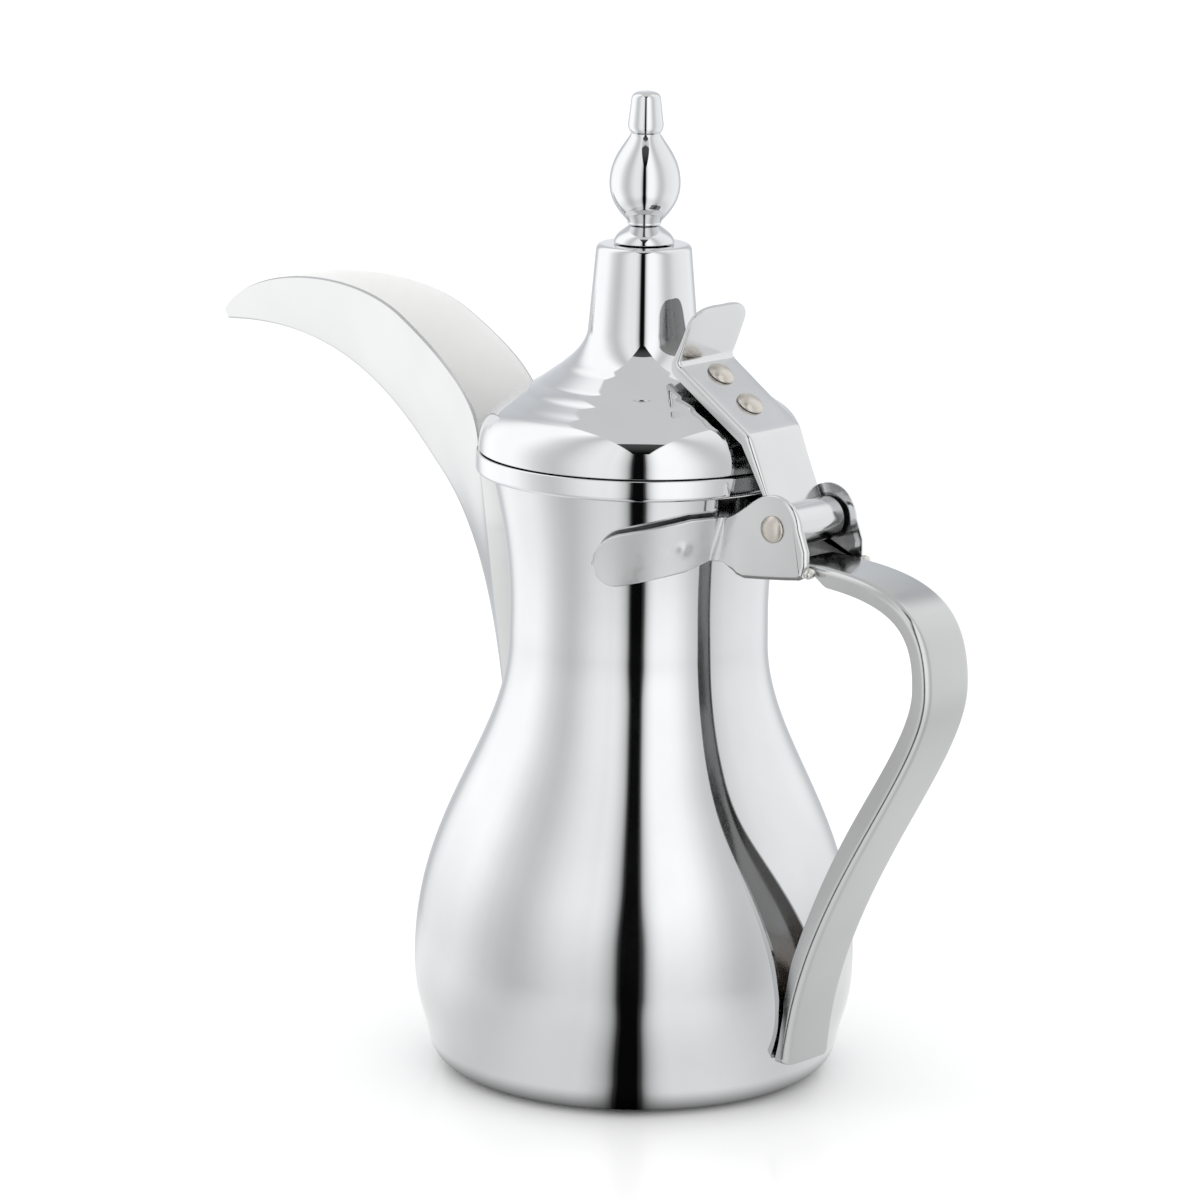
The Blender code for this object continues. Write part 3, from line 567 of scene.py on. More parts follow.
def make_spout():
    """Open beak folded from one sheet, fitted against the neck and the rim."""
    levels, keel_faces = 30, 2
    into_neck, parallel, taper, crowding = 0.022, 22, 1.6, 1.8
    keel = beak_line(KEEL_ROOT, KEEL_MID, KEEL_TIP, KEEL_HANDLES)
    top = beak_line(EDGE_ROOT, EDGE_MID, EDGE_TIP, EDGE_HANDLES)
    last = len(top) - 1
    stations = [((keel[0][0] + into_neck, keel[0][1]), (top[0][0] + into_neck, top[0][1]),
                 SPOUT_HALF)]
    for i in range(last + 1):
        share = max(0.0, (i - parallel) / (last - parallel))
        stations.append((keel[i], top[i], SPOUT_HALF - (SPOUT_HALF - TIP_HALF) * share ** taper))
    rows = [(i / levels) ** crowding for i in range(levels + 1)]
    shape = bmesh.new()
    grid = []
    for low, high, half in stations:
        column = []
        for side, share in [(-1, s) for s in reversed(rows)] + [(1, s) for s in rows[1:]]:
            x = low[0] + (high[0] - low[0]) * share
            z = low[1] + (high[1] - low[1]) * share
            column.append(shape.verts.new((x, side * half * fold(share), z)))
        grid.append(column)
    for first, second in zip(grid, grid[1:]):
        for i in range(len(first) - 1):
            face = shape.faces.new((first[i], second[i], second[i + 1], first[i + 1]))
            face.material_index = 2 if abs(i + 0.5 - levels) < keel_faces else 0
    spout = make_object("spout", shape, BEAK_INSIDE_LIGHTENED, BEAK, PLAIN)
    skin = spout.modifiers.new("sheet", "SOLIDIFY")
    skin.material_offset = 1
    skin.material_offset_rim = 2
    skin.thickness = SPOUT_SHEET
    skin.offset = -1.0
    skin.use_even_offset = True
    cut(spout, make_neck_trim())
    soften(spout, 0.00022, 3, 50)
    bake(spout)
    belongs(spout, POT, "polished_steel", "spout_shell")


# ---- Hinge bracket
def side_name(name, side):
    return name + ("_near" if side < 0 else "_far")


def make_arm(side):
    """One arm of the saddle: a strip round the neck with a rounded, drooping end and a spot
    weld, bent outwards in a tight fillet to run on into its ear."""
    steps, bend_steps, levels = 90, 14, 40
    spread_by, round_from, least = 0.2, 0.76, 0.03      # shares of the arm's length and width
    tilt, edge_round, edge_share = 0.0005, 0.0005, 0.06
    into_ear = Vector((0.0006, -0.00005))
    middle_r = pot_radius(ARM_Z)
    out_r = middle_r + ARM_GAP + EAR_SHEET
    centre_r, fillet_y = out_r + FILLET_R, EAR_OUT + FILLET_R
    start = asin(fillet_y / centre_r)
    fillet = Vector((centre_r * cos(start), fillet_y))
    path = [("neck", 1 - i / steps) for i in range(steps + 1)]
    path += [("bend", i / bend_steps) for i in range(1, bend_steps + 1)] + [("tongue", 1.0)]
    sections = []
    for kind, value in path:
        share = value if kind == "neck" else 0.0
        turn = start + (ARM_END - start) * share
        into_end = max(0.0, (share - round_from) / (1 - round_from))
        half = ARM_HALF + ARM_SPREAD * min(1.0, share / spread_by)
        half *= max(least, sqrt(max(0.0, 1.0 - into_end ** 2)))
        outer, inner = [], []
        for k in range(levels + 1):
            level = -cos(pi * k / levels)
            height = ARM_Z - ARM_DROOP * share + half * level
            flare = pot_radius(height) - middle_r + tilt * level
            tuck = edge_round * (1 - min(1.0, (1 - abs(level)) / edge_share)) ** 2
            if kind == "neck":
                normal = Vector((cos(turn), sin(turn)))
                point = normal * (out_r + flare)
                distance = hypot((turn - SPOT_TURN) * out_r, height - SPOT_Z)
                tuck -= SPOT_TALL * exp(-(distance / SPOT_R) ** 2)
            else:
                around = pi + start + (pi / 2 - start) * value
                normal = -Vector((cos(around), sin(around)))
                point = (fillet - normal * FILLET_R
                         + Vector((cos(start), sin(start))) * flare * (1 - value))
                if kind == "tongue":
                    point += into_ear
            point -= normal * tuck
            outer.append((point.x, point.y * side, height))
            back = point - normal * (EAR_SHEET - tuck)
            inner.append((back.x, back.y * side, height))
        sections.append(outer + inner[::-1])
    return bake(make_object(side_name("bracket_arm", side), loft(sections), ROLLED, DULL_PAINTED_SHADE), 50)


def ear_outline():
    """Side view of one ear, anticlockwise from its front foot."""
    front = EAR_FRONT
    corners = [(front, ARM_Z - ARM_HALF), (front + 0.0012, 0.1489), (0.0415, 0.1474),
               (0.0437, 0.1458), (0.0462, 0.1452), (0.0525, 0.1458), (0.0597, 0.1466),
               (0.0648, 0.1473), (0.0668, 0.1483), (0.0677, 0.1516), (0.0676, 0.1566)]
    outline = []
    for first, second in zip(corners, corners[1:]):
        outline += [first] + straight(first, second, 4)[:-1]
    outline += arc((PIN.x, PIN.z), EAR_ROUND, 6, 106, 36)
    extend(outline, ((0.0506, 0.1682), (0.0465, 0.1640), (0.0425, 0.1618), 20),
           ((0.0410, 0.1610), (0.0395, 0.1602), (front, ARM_Z + ARM_HALF), 8))
    return outline


def make_ear(side):
    """Ear of the bracket: flat cheek with its rear and lower edges rolled inwards. Behind the
    lips it is as thin as the sheet. Its inside and the underside of its lower lip take dark
    steel, painted shade."""
    steps, least = 10, 0.03
    lip_x, lip_long, lip_z, lip_tall, front_long = 0.0560, 0.0080, 0.1500, 0.0030, 0.0040
    wall, wall_foot = 0.0010, 0.0026
    painted_shade_z, painted_shade_rings = 0.1480, range(2, 8)
    outline = ear_outline()
    count = len(outline)
    normals, rounds = [], []
    for i, (x, z) in enumerate(outline):
        along = (Vector(outline[(i + 1) % count]) - Vector(outline[i - 1])).normalized()
        normals.append(Vector((along.y, -along.x)))
        rear, low = unit((x - lip_x) / lip_long), unit((lip_z - z) / lip_tall)
        front = unit((x - EAR_FRONT) / front_long)
        rounds.append((EAR_EDGE + EAR_LIP * max(rear, low)) * max(least, front))
    deep = [max(EAR_SHEET, r) for r in rounds]

    def ring(inwards, depths):
        return [(x - n.x * inward, side * (EAR_OUT - depth), z - n.y * inward)
                for (x, z), n, inward, depth in zip(outline, normals, inwards, depths)]

    sections = []
    for k in range(steps + 1):
        turn = pi / 2 * k / steps
        sections.append(ring([r * (1 - sin(turn)) for r in rounds],
                             [r * (1 - cos(turn)) for r in rounds]))
    sections += [ring(repeat(0.0), deep), ring(repeat(wall), deep),
                 ring(repeat(wall_foot), repeat(EAR_SHEET))]
    shape = loft(sections)
    shape.faces.ensure_lookup_table()
    # The ear's inside face and the under faces of its lower lip take the dark steel: painted
    # shade.
    shape.faces[-1].material_index = 1
    for i, (_, z) in enumerate(outline):
        if z < painted_shade_z:
            for k in painted_shade_rings:
                shape.faces[k * count + i].material_index = 1
    return bake(make_object(side_name("bracket_ear", side), shape, PRESSED, DULL_PAINTED_SHADE), 40)


def make_web():
    """Floor of the bracket between the two ears, under the lever's knuckle. It is dark steel
    all over, painted shade.
    """
    half, thin = EAR_OUT - EAR_SHEET, 0.0010
    line = [(0.0470, 0.1462), (0.0500, 0.1459), (0.0597, 0.1472), (0.0655, 0.1478)]
    lower = [line[0]]
    for first, second in zip(line, line[1:]):
        lower += straight(first, second, 4)
    outline = lower + [(x, z + thin) for x, z in reversed(lower)]
    web = make_object("bracket_web", loft([[(x, y, z) for x, z in outline]
                                           for y in (-half, half)]), DULL_PAINTED_SHADE)
    soften(web, 0.0002, 2)
    return bake(web)


def make_bracket():
    belongs(make_ear(-1), POT, "handle_steel", "hinge_bracket")
    for piece in (make_ear(1), make_web(), make_arm(-1), make_arm(1)):
        belongs(piece, POT, "handle_steel")


def mirrored(upper):
    """A turned outline made whole from its upper half."""
    return [(radius, -height) for radius, height in reversed(upper)] + upper


def make_pin():
    """Riveted hinge pin with a low dome at each end."""
    seat, end = EAR_OUT + 0.0001, PIN_HIGH.y
    upper = [(PIN_SHANK_R, seat), (PIN_HEAD_R - 0.0002, seat)]
    extend(upper, ((PIN_HEAD_R + 0.0001, seat + 0.0001), (PIN_HEAD_R, seat + 0.0006),
                   (PIN_HEAD_R - 0.0005, seat + 0.0008), 6),
           ((PIN_HEAD_R - 0.0015, end), (0.0010, end), (0.0, end), 12))
    turned_piece("hinge_pin_fine", mirrored(upper), RIVETED, POT, "pin_steel", "hinge_pin",
                 segments=64, place=HINGE_PLACE)


# ---- Channels
def channel_section(width, depth, floor, sheet, rounding, crown, steps=10):
    """Cross-section of a pressed channel, open underneath, as (across, out) points. The
    outer face stands proud by the crown in the middle."""
    half = width / 2
    inner, flat = half - sheet, half - rounding
    right = arc((flat, -rounding), rounding, 90, 0, steps)
    left = [(-across, out) for across, out in reversed(right)]
    middle = [(flat * t / 4, crown * (1 - (t / 4) ** 2)) for t in range(-3, 4)]
    return ([(-half, -depth)] + left + middle + right + [(half, -depth), (inner, -depth)]
            + [(inner, -floor), (-inner, -floor), (-inner, -depth)])


def channel(stations, sheet, rounding, crown=0.0):
    """Loft a channel along stations of (point, width, depth, floor) in the XZ plane. The faces
    of its inside take the second material."""
    most_round = 0.6                       # of the channel's depth
    sections = []
    travel = tangents([station[0] for station in stations])
    for (point, width, depth, floor), along in zip(stations, travel):
        section = channel_section(width, depth, floor, sheet,
                                  min(rounding, depth * most_round), crown)
        sections.append([(point[0] - along.y * out, across, point[1] + along.x * out)
                         for across, out in section])
    shape = loft(sections)
    count = len(sections[0])
    shape.faces.ensure_lookup_table()
    for index in range(count * (len(sections) - 1)):
        shape.faces[index].material_index = int(index % count in range(count - 4, count - 1))
    return shape


# ---- Handle
def handle_path(steps):
    """Outer face of the handle in side view, from inside the bracket down to the foot. The
    pulls are the lengths of the curve's handles."""
    start_pull, bulge_pull, foot_pull = 0.0326, 0.0230, 0.0470
    lean = Vector((sin(HANDLE_FOOT_LEAN), cos(HANDLE_FOOT_LEAN)))
    bulge = HANDLE_BULGE
    return chain(HANDLE_START,
                 ((HANDLE_START[0] + start_pull, HANDLE_START[1]),
                  (bulge[0], bulge[1] + bulge_pull), bulge, steps),
                 ((bulge[0], bulge[1] - bulge_pull), Vector(HANDLE_FOOT) + lean * foot_pull,
                  HANDLE_FOOT, steps))


def handle_depth(share):
    """Depth of the channel along the handle: shallow in the bracket, deepest half-way down."""
    marks = ((0.0, 0.0026), (0.040, 0.0026), (0.070, 0.0050), (0.25, 0.0050), (0.60, 0.0062),
             (0.84, 0.0052), (0.90, 0.0043), (0.93, 0.0035), (0.965, 0.0035), (1.0, FOOT_DEPTH))
    return level_at(marks, share, FOOT_DEPTH, lambda t: t * t * (3 - 2 * t))


def make_handle():
    """Pressed channel handle: open towards the pot, closed and rounded at its foot."""
    closing, foot_round, end_steps = 0.0013, 0.0026, 7
    crown, skin = 0.00012, 0.00005
    path = handle_path(90)
    lengths = lengths_along(path)
    long = lengths[-1]
    stations = [[point, HANDLE_WIDE, handle_depth(along / long), HANDLE_SHEET]
                for point, along in zip(path, lengths) if long - along > closing]
    foot = Vector(path[-1])
    up = (Vector(path[-2]) - foot).normalized()
    for i in range(end_steps + 1):
        turn = pi / 2 * i / end_steps
        point = foot + up * closing * (1 - sin(turn))
        floor = HANDLE_SHEET if i == 0 else FOOT_DEPTH - skin
        stations.append([tuple(point), HANDLE_WIDE - foot_round * (1 - cos(turn)),
                         FOOT_DEPTH, floor])
    # The channel's inside takes the dark steel: painted shade in the recess.
    handle = make_object("handle", channel(stations, HANDLE_SHEET, HANDLE_ROUND, crown), SATIN,
                         DULL_PAINTED_SHADE)
    belongs(bake(handle, 38), POT, "handle_steel", "handle_channel")


def make_handle_welds():
    """Beads between the ears and the handle, a little uneven."""
    radius, stretch, wave = 0.0015, 1.3, 0.05
    waves_up, waves_across = 5200, 3600
    for side, node in ((-1, "handle_weld_left"), (1, "handle_weld_right")):
        shape = bmesh.new()
        bmesh.ops.create_uvsphere(shape, u_segments=48, v_segments=24, radius=radius)
        for vert in shape.verts:
            vert.co.y *= stretch
            ripple = sin(vert.co.z * waves_up) * cos(vert.co.y * waves_across)
            vert.co *= 1 + wave * ripple
        place = Matrix.Translation((WELD_AT.x, side * WELD_AT.y, WELD_AT.z))
        weld = bake(make_object(side_name("weld", side), shape, BRAZE, place=place))
        belongs(weld, POT, "braze", node)


def make_foot_weld():
    """Brazed pad inside the handle's foot, with a soft fillet round it."""
    low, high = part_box("foot_weld")
    radius, long = (high.y - low.y) / 2, high.x - low.x
    outline = [(0.0, 0.0), (radius, 0.0)]
    extend(outline, ((radius - 0.0002, long * 0.6), (radius - 0.0005, long),
                     (radius - 0.0012, long), 8))
    place = (Matrix.Translation((low.x, 0.0, (low.z + high.z) / 2))
             @ Matrix.Rotation(radians(90), 4, "Y"))
    turned_piece("foot_braze", outline + [(0.0, long)], BRAZE, POT, "braze", "foot_weld",
                 segments=48, place=place)


# ---- Lid
def ridged(smooth_path):
    """The cone's outline with its steps pressed in, and both of its ends where they were."""
    lengths, lifts = lengths_along(smooth_path), [0.0]
    for first, second, distance in zip(smooth_path, smooth_path[1:], lengths):
        along = Vector(second) - Vector(first)
        tilt = degrees(atan2(-along.x, along.y))
        place = SHOULDER_ROUND + distance + along.length / 2
        steeper = tilt - level_at(CONE_TILTS, place, tilt)
        lifts.append(lifts[-1] + along.length * tan(radians(steeper)))
    return offset(smooth_path, [lift - lifts[-1] * distance / lengths[-1]
                                for lift, distance in zip(lifts, lengths)])


def lid_outline():
    """Outer surface of the lid: upright wall, ridged shoulder, chimney, flat top."""
    soft, wall, shoulder_pull = 0.0003, 0.0052, 0.0045
    cone_pull, chimney_pull = 0.0037, 0.0046
    uphill = Vector((-1.0, SHOULDER_SLOPE)).normalized()
    cone_start = SHOULDER + uphill * SHOULDER_ROUND
    cone_end = Vector((CONE_END_R, SHOULDER.y + (SHOULDER.x - CONE_END_R) * SHOULDER_SLOPE))
    outline = [(LID_R - soft, LID_BOTTOM_Z)]
    outline += arc((LID_R - soft, LID_BOTTOM_Z + soft), soft, -60, 0, 4)
    rounding = curve(outline[-1], (LID_R, LID_BOTTOM_Z + wall),
                     cone_start - uphill * shoulder_pull, cone_start, 40)
    cone = [rounding[-1]] + straight(cone_start, cone_end, 130)
    cone += curve(cone_end, cone_end + uphill * cone_pull,
                  CHIMNEY_FOOT - Vector((0, chimney_pull)), CHIMNEY_FOOT, 50)
    outline += rounding[:-1] + ridged(cone)
    centre = (CHIMNEY_TOP.x - CHIMNEY_ROUND, CHIMNEY_TOP.y - CHIMNEY_ROUND)
    shoulder = arc(centre, CHIMNEY_ROUND, 5, 90, 14)
    return outline + straight(outline[-1], shoulder[0], 20) + shoulder[1:]


def make_lid():
    outer = lid_outline()
    inner = offset(outer, repeat(-LID_SHEET))
    inner[0] = (LID_R - LID_SHEET, outer[0][1])
    inner[-1] = (outer[-1][0], outer[-1][1] - LID_SHEET)
    bore = [(BORE_R, CHIMNEY_TOP.y), (BORE_R, CHIMNEY_TOP.y - LID_SHEET)]
    lid = make_shell("lid_cover", outer + bore + inner[::-1], MIRROR, len(outer))
    belongs(bake(lid, 50), LID, "polished_steel", "lid_shell")


def make_seat_ring():
    """Angle ring under the lid, rounded at its corner and its lower edge."""
    bottom, top, reach = SEAT_LOW.z, SEAT_HIGH.z, SEAT_HIGH.y
    sheet, soft, radius, corner = 0.0008, 0.0002, 0.0375, 0.0006
    outline = [(radius - sheet / 2, bottom)] + arc((radius - soft, bottom + soft), soft, -90, 0, 3)
    outline += [(radius, top - sheet), (reach, top - sheet), (reach, top)]
    outline += arc((radius - sheet + corner, top - corner), corner, 90, 180, 5)
    outline += arc((radius - sheet + soft, bottom + soft), soft, 180, 270, 3)
    turned_piece("lid_seat", outline, PLAIN, LID, "plain_steel", "lid_seat_ring")


# ---- Lever
def lever_path():
    """Upper face of the lever in side view, from the tab's top down to the knuckle, in short
    steps below the tab."""
    into_barrel, step = 0.0012, 0.0012
    bend, pin = Vector(LEVER_BEND), Vector((PIN.x, PIN.z))
    onto_barrel = pin + (bend - pin).normalized() * (BARREL_R - into_barrel)
    path = rounded([TAB_TOP, LEVER_CREASE, LEVER_BEND, tuple(onto_barrel)],
                   (LEVER_CREASE_R, LEVER_BEND_R), 10)
    fine = [path[0], path[1]]
    for a, b in zip(path[1:], path[2:]):
        fine += straight(a, b, max(1, round((Vector(b) - Vector(a)).length / step)))
    return fine


def make_lever():
    """Thumb lever: a blunt tab and a flanged strap, riveted to the lid."""
    tab_round, tip_steps, tab_steps, blunt = 0.0056, 24, 12, 0.55
    flat, crease_flange, growing = LEVER_SHEET + 0.0001, 0.55, 8
    end_loss, end_long = 0.0020, 0.016
    top, *strap = lever_path()
    top, crease_z, bend_z = Vector(top), LEVER_CREASE[1], LEVER_BEND[1]
    down = (Vector(strap[0]) - top).normalized()
    tab_long = (Vector(strap[0]) - top).length
    stations = []
    for i in range(1, tip_steps + 1):
        angle = pi / 2 * i / tip_steps
        stations.append([tuple(top + down * tab_round * (1 - cos(angle))),
                         TAB_WIDE * sin(angle) ** blunt, flat, LEVER_SHEET])
    for i in range(1, tab_steps):
        share = i / tab_steps
        at = tab_round + (tab_long - tab_round) * share
        depth = flat + (LEVER_FLANGE * crease_flange - flat) * share ** 2
        stations.append([tuple(top + down * at), TAB_WIDE, depth, LEVER_SHEET])
    for i, point in enumerate(strap):
        fall, total = crease_z - point[1], crease_z - bend_z
        if fall < total:
            width = TAB_WIDE + (BEND_WIDE - TAB_WIDE) * max(0.0, fall) / total
        else:
            share = (bend_z - point[1]) / (bend_z - strap[-1][1])
            width = BEND_WIDE + (KNUCKLE_WIDE - BEND_WIDE) * share
        depth = LEVER_FLANGE * (crease_flange + (1 - crease_flange) * min(1.0, i / growing))
        depth = max(flat, depth - end_loss * max(0.0, (fall - total) / end_long))
        stations.append([point, width, depth, LEVER_SHEET])
    # The channel's inside and underside take the dark steel: painted shade.
    lever = make_object("lever", channel(stations, LEVER_SHEET, LEVER_ROUND), PRESSED, DULL_PAINTED_SHADE)
    belongs(bake(lever, 40), LID, "handle_steel", "lid_lever")


def make_knuckle():
    """The end of the lever's strap, rolled into a barrel round the pin."""
    soft, half = 0.0004, BARREL_LONG / 2
    upper = arc((BARREL_R - soft, half - soft), soft, 0, 90, 5) + [(BORE_R, half)]
    turned_piece("lever_knuckle", mirrored(upper), PRESSED, LID, "handle_steel", segments=96,
                 place=HINGE_PLACE)


def rivet_place(x):
    """Frame of a rivet: its origin on the lever's upper face, +Z straight out of the lid."""
    run, fall = LEVER_BEND[0] - LEVER_CREASE[0], LEVER_CREASE[1] - LEVER_BEND[1]
    z = LEVER_CREASE[1] - fall * (x - LEVER_CREASE[0]) / run
    return Matrix.Translation((x, 0.0, z)) @ Matrix.Rotation(atan2(fall, run), 4, "Y")


def make_rivets():
    """Dome-headed rivets through the lever and the lid, their tails spread inside."""
    tail, seat, tail_r, tail_tall = -0.0053, 0.0001, 0.0024, 0.0009
    tall, end = GAP + RIVET_HEAD_TALL, tail - tail_tall
    outline = [(0.0, end)]
    extend(outline, ((0.0014, end), (tail_r, tail - 0.0007), (tail_r, tail), 6))
    outline += [(RIVET_SHANK_R, tail), (RIVET_SHANK_R, seat), (RIVET_HEAD_R - 0.0003, seat)]
    extend(outline, ((RIVET_HEAD_R + 0.0002, seat), (RIVET_HEAD_R, seat + 0.0006),
                     (RIVET_HEAD_R - 0.0004, seat + 0.0009), 8),
           ((RIVET_HEAD_R * 0.68, tall * 0.86), (RIVET_HEAD_R * 0.35, tall), (0.0, tall), 12))
    for which, x in zip(("upper", "lower"), RIVET_AT):
        turned_piece("rivet_" + which, outline, RIVETED, LID, "pin_steel",
                     which + "_lever_rivet", segments=64, sharp=60, place=rivet_place(x))


# ---- Finial
def make_finial_piece(which, outline, segments, sharp):
    turned_piece(f"finial_{which}_fine", outline, MIRROR, LID, "polished_steel",
                 "finial_" + which, segments=segments, sharp=sharp)


def make_finial():
    low, high, soft = FOOT_LOW.z, FOOT_HIGH.z, 0.0002
    outline = [(BORE_R, low), (FOOT_R - soft, low)]
    outline += arc((FOOT_R - soft, low + soft), soft, -90, 20, 4)
    extend(outline, ((FOOT_R - 0.0004, low + 0.0023), (0.0060, low + 0.0032),
                     (0.0044, high - 0.0001), 18))
    make_finial_piece("foot", outline + [(FINIAL_NECK_R, high), (BORE_R, high)], 96, 32)

    low, high, soft = BULB_LOW.z, BULB_HIGH.z, 0.0004
    outline = [(BORE_R, low), (FINIAL_NECK_R, low)]
    outline += arc((FINIAL_NECK_R, low + soft), soft, -90, 30, 6)
    extend(outline, ((0.0048, low + 0.0016), (BULB_R, BULB_Z - 0.0064), (BULB_R, BULB_Z), 36),
           ((BULB_R, BULB_Z + 0.0062), (0.0062, high - 0.0036),
            (FINIAL_NECK_R, high - 0.0005), 36))
    make_finial_piece("bulb", outline + [(0.0040, high), (BORE_R, high)], 128, 50)

    low, high = TIP_LOW.z, TIP_HIGH.z
    bore_top, taper_top = high - 0.0034, (0.0040, high - 0.0022)
    outline = [(0.0, bore_top), (BORE_R, bore_top), (BORE_R, low), (0.0041, low)]
    extend(outline, ((0.0045, low + 0.0004), (TIP_R, low + 0.0012), (TIP_R, low + 0.0021), 10))
    outline += straight(outline[-1], taper_top, 12)
    extend(outline, ((0.0039, high - 0.0008), (0.0028, high), (0.0, high), 16))
    make_finial_piece("tip", outline, 96, 50)


def make_fixings():
    """Stud and washer in the chimney; the CAD nut keeps its shape and takes the finish."""
    soft = 0.0002
    for name, inner in (("stud", 0.0), ("washer", BORE_R)):
        low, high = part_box("finial_" + name)
        centre_r = high.y - soft
        outline = [(inner, low.z)] + arc((centre_r, low.z + soft), soft, -90, 0, 3)
        outline += arc((centre_r, high.z - soft), soft, 0, 90, 3) + [(inner, high.z)]
        turned_piece(name, outline, PLAIN, LID, "plain_steel", "finial_" + name, segments=48)
    for slot in frame["nodes"]["finial_nut"].material_slots:
        slot.material = PLAIN


# ---- Stage
def ramp(graph, azimuth, stops, interpolation):
    """A level against an angle in degrees."""
    share = graph.math("DIVIDE", graph.math("ADD", azimuth, 180.0), 360.0)
    node = graph.node("ShaderNodeValToRGB", share)
    steps = node.color_ramp
    steps.interpolation = interpolation
    while len(steps.elements) < len(stops):
        steps.elements.new(0.5)
    for element, (angle, level) in zip(steps.elements, stops):
        element.position = (angle + 180) / 360
        element.color = (level, level, level, 1.0)
    return node.outputs["Color"]


def azimuth_of(graph, direction):
    """Angle round the pot from the camera's side, in degrees, and the two level parts."""
    across = graph.vector("DOT_PRODUCT", direction, tuple(CAMERA_RIGHT))
    ahead = graph.vector("DOT_PRODUCT", direction, tuple(TOWARDS_CAMERA))
    return graph.times(graph.math("ARCTAN2", across, ahead), 180 / pi), across, ahead


def tent_walls(graph, azimuth, evenness, opening):
    """Light of the walls: softly shaded panels, evened out towards the floor, and the black
    gap where the camera looks in, wider by some degrees on either side. Behind the pot the
    light turns cooler."""
    panels = ramp(graph, azimuth, PANELS, "CARDINAL")
    panels = graph.mix(evenness, panels, (WALL_GREY, WALL_GREY, WALL_GREY, 1.0))
    side = graph.math("DIVIDE", azimuth, GAP_MIDDLE)
    side = graph.math("MINIMUM", graph.math("MAXIMUM", side, -1.0), 1.0)
    narrowed = graph.math("SUBTRACT", azimuth, graph.times(side, opening))
    level = graph.vector("MULTIPLY", panels, ramp(graph, narrowed, CAMERA_GAP, "LINEAR"))
    cool = graph.smooth(graph.math("ABSOLUTE", azimuth), *COOL_FROM_TO)
    return graph.vector("MULTIPLY", level, graph.mix(cool, WHITE, COOL))


def tent_light(graph, ray):
    """Colour of the far tent in a direction: the walls, and the seam over the ceiling,
    black at the front and grey above."""
    half, narrowing, edge = 0.34, 0.13, 0.015
    front, far, soft, front_level, far_level = 0.53, 1.3, 0.01, 0.060, 0.003
    lowest, highest = 0.45, 0.60
    azimuth, across, ahead = azimuth_of(graph, ray)
    rise = graph.height(ray)
    walls = tent_walls(graph, azimuth, 0.0, 0.0)

    # On the ceiling, directions are measured in units of the tent's height.
    height = graph.math("MAXIMUM", rise, 0.001)
    seam_x = graph.math("ABSOLUTE", graph.math("DIVIDE", across, height))
    seam_y = graph.math("DIVIDE", ahead, height)
    black = graph.smooth(seam_y, front, far, front_level, far_level)
    seam = graph.mix(graph.smooth(seam_y, front - soft, front + soft), CEILING_GREY, black,
                     "FLOAT")
    beside = graph.math("SUBTRACT", seam_x,
                        graph.math("SUBTRACT", half, graph.times(seam_y, narrowing)))
    inside = graph.times(graph.smooth(beside, -edge, edge, 1.0, 0.0),
                         graph.smooth(rise, lowest, highest))
    return graph.mix(inside, walls, seam)


def make_tent():
    """White tent seen in the metal; the camera sees plain white, the floor an even light."""
    world = bpy.data.worlds.new("light_tent")
    bpy.context.scene.world = world
    graph = Graph(world)
    light = tent_light(graph, graph.node("ShaderNodeTexCoord").outputs["Generated"])
    glossy = graph.node("ShaderNodeLightPath").outputs["Is Glossy Ray"]
    graph.feed_all(world.node_tree.nodes["Background"], Color=graph.mix(glossy, WHITE, light),
                   Strength=graph.mix(glossy, TENT_LIGHT, 1 / METAL_TINT, "FLOAT"))


def tent_glow(graph, direction, evenness, opening, fade):
    """Light of the near walls as seen in the metal."""
    light = tent_walls(graph, azimuth_of(graph, direction)[0], evenness, opening)
    strength = graph.times(fade, 1 / METAL_TINT)
    return graph.node("ShaderNodeEmission", light, strength).outputs[0]


def make_near_tent():
    """The tent's wall close round the pot, seen only from inside and only in the metal. At
    its upper edge it passes into the far tent."""
    # Each is (from a height, to a height, level at the first, level at the second).
    passing, evenness = (0.55 * TENT_TALL, TENT_TALL), (0.0, 0.12, FOOT_EVENNESS, 0.0)
    opening, fade = (0.06, 0.15, FOOT_OPENING, 0.0), (0.0, 0.13, FOOT_FADE, 1.0)
    shape = bmesh.new()
    bmesh.ops.create_cone(shape, cap_ends=False, segments=128, radius1=TENT_R,
                          radius2=TENT_R, depth=TENT_TALL,
                          matrix=Matrix.Translation((0.0, 0.0, TENT_TALL / 2)))
    material = bpy.data.materials.new("tent_wall")
    graph = Graph(material)
    geometry = graph.node("ShaderNodeNewGeometry").outputs
    height = graph.height(geometry["Position"])
    seen = graph.mix(graph.smooth(height, *passing),
                     graph.vector("MULTIPLY", geometry["Position"],
                                  (1 / TENT_R, 1 / TENT_R, 0.0)),
                     graph.vector("MULTIPLY", geometry["Incoming"], (-1.0, -1.0, 0.0)),
                     "VECTOR")
    glow = tent_glow(graph, seen, *(graph.smooth(height, *span)
                                    for span in (evenness, opening, fade)))
    graph.show(graph.math("SUBTRACT", 1.0, geometry["Backfacing"]), glow,
               graph.node("ShaderNodeBsdfTransparent").outputs[0])
    wall = make_object("tent_wall", shape, material)
    wall.visible_camera = wall.visible_diffuse = wall.visible_shadow = False


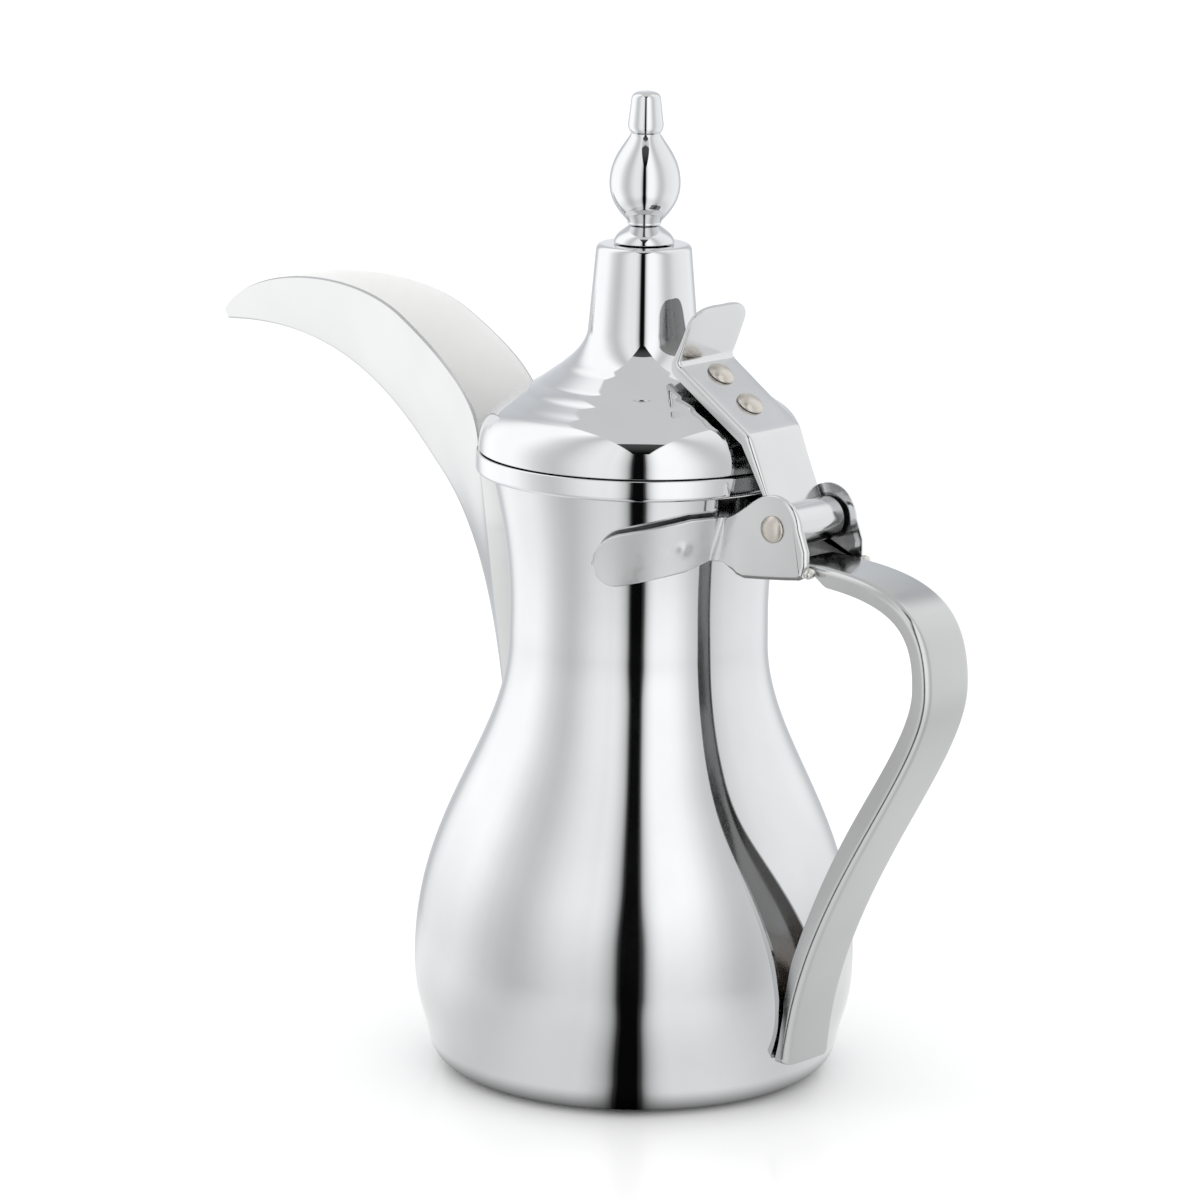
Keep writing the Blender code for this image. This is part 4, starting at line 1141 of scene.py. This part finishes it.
def make_floor():
    """Plain white floor. In the metal it carries the tent's light on down, ever more even,
    and darkens towards the foot of the pot in a painted contact shadow."""
    # Each is (from a reach, to a reach, level at the first, level at the second).
    evenness, opening = (0.060, TENT_R, 0.75, FOOT_EVENNESS), (0.110, TENT_R, 0.3, FOOT_OPENING)
    painted_contact_shadow, far_fade = (0.046, 0.064, 0.10, 1.0), (0.120, TENT_R, 1.0, FOOT_FADE)
    shape = bmesh.new()
    bmesh.ops.create_circle(shape, cap_ends=True, radius=3.0, segments=64)
    material = bpy.data.materials.new("white_floor")
    graph = Graph(material)
    white = graph.feed_all(material.node_tree.nodes["Principled BSDF"],
                           Base_Color=(0.93, 0.93, 0.93, 1.0), Roughness=0.12,
                           Specular_IOR_Level=0.12)
    place = graph.node("ShaderNodeNewGeometry").outputs["Position"]
    reach = graph.vector("LENGTH", place)
    # Close round the pot the glow dims to a tenth: a painted contact shadow, seen only in the
    # metal.
    fade = graph.times(graph.smooth(reach, *painted_contact_shadow), graph.smooth(reach, *far_fade))
    glow = tent_glow(graph, place, graph.smooth(reach, *evenness),
                     graph.smooth(reach, *opening), fade)
    graph.show(graph.node("ShaderNodeLightPath").outputs["Is Glossy Ray"], white.outputs[0],
               glow)
    make_object("floor", shape, material)


def make_camera():
    distance, height, pitch = 1.5, 0.459, radians(12.36)
    yaw, roll = CAMERA_AZIMUTH + radians(0.405), radians(0.755)
    data = bpy.data.cameras.new("camera")
    data.sensor_width, data.lens = 36.0, 168.84
    camera = bpy.data.objects.new("camera", data)
    bpy.context.scene.collection.objects.link(camera)
    place = TOWARDS_CAMERA * distance + Vector((0.0, 0.0, height))
    camera.matrix_world = (Matrix.Translation(place) @ Matrix.Rotation(yaw, 4, "Z")
                           @ Matrix.Rotation(pi / 2 - pitch, 4, "X")
                           @ Matrix.Rotation(roll, 4, "Z"))
    bpy.context.scene.camera = camera


def main():
    for make in (make_body, make_base, make_rim, make_spout, make_bracket, make_pin,
                 make_handle, make_handle_welds, make_foot_weld, make_lid, make_seat_ring,
                 make_lever, make_knuckle, make_rivets, make_finial, make_fixings, make_tent,
                 make_near_tent, make_floor, make_camera):
        make()
    bpy.context.scene.view_settings.view_transform = "Standard"


main()
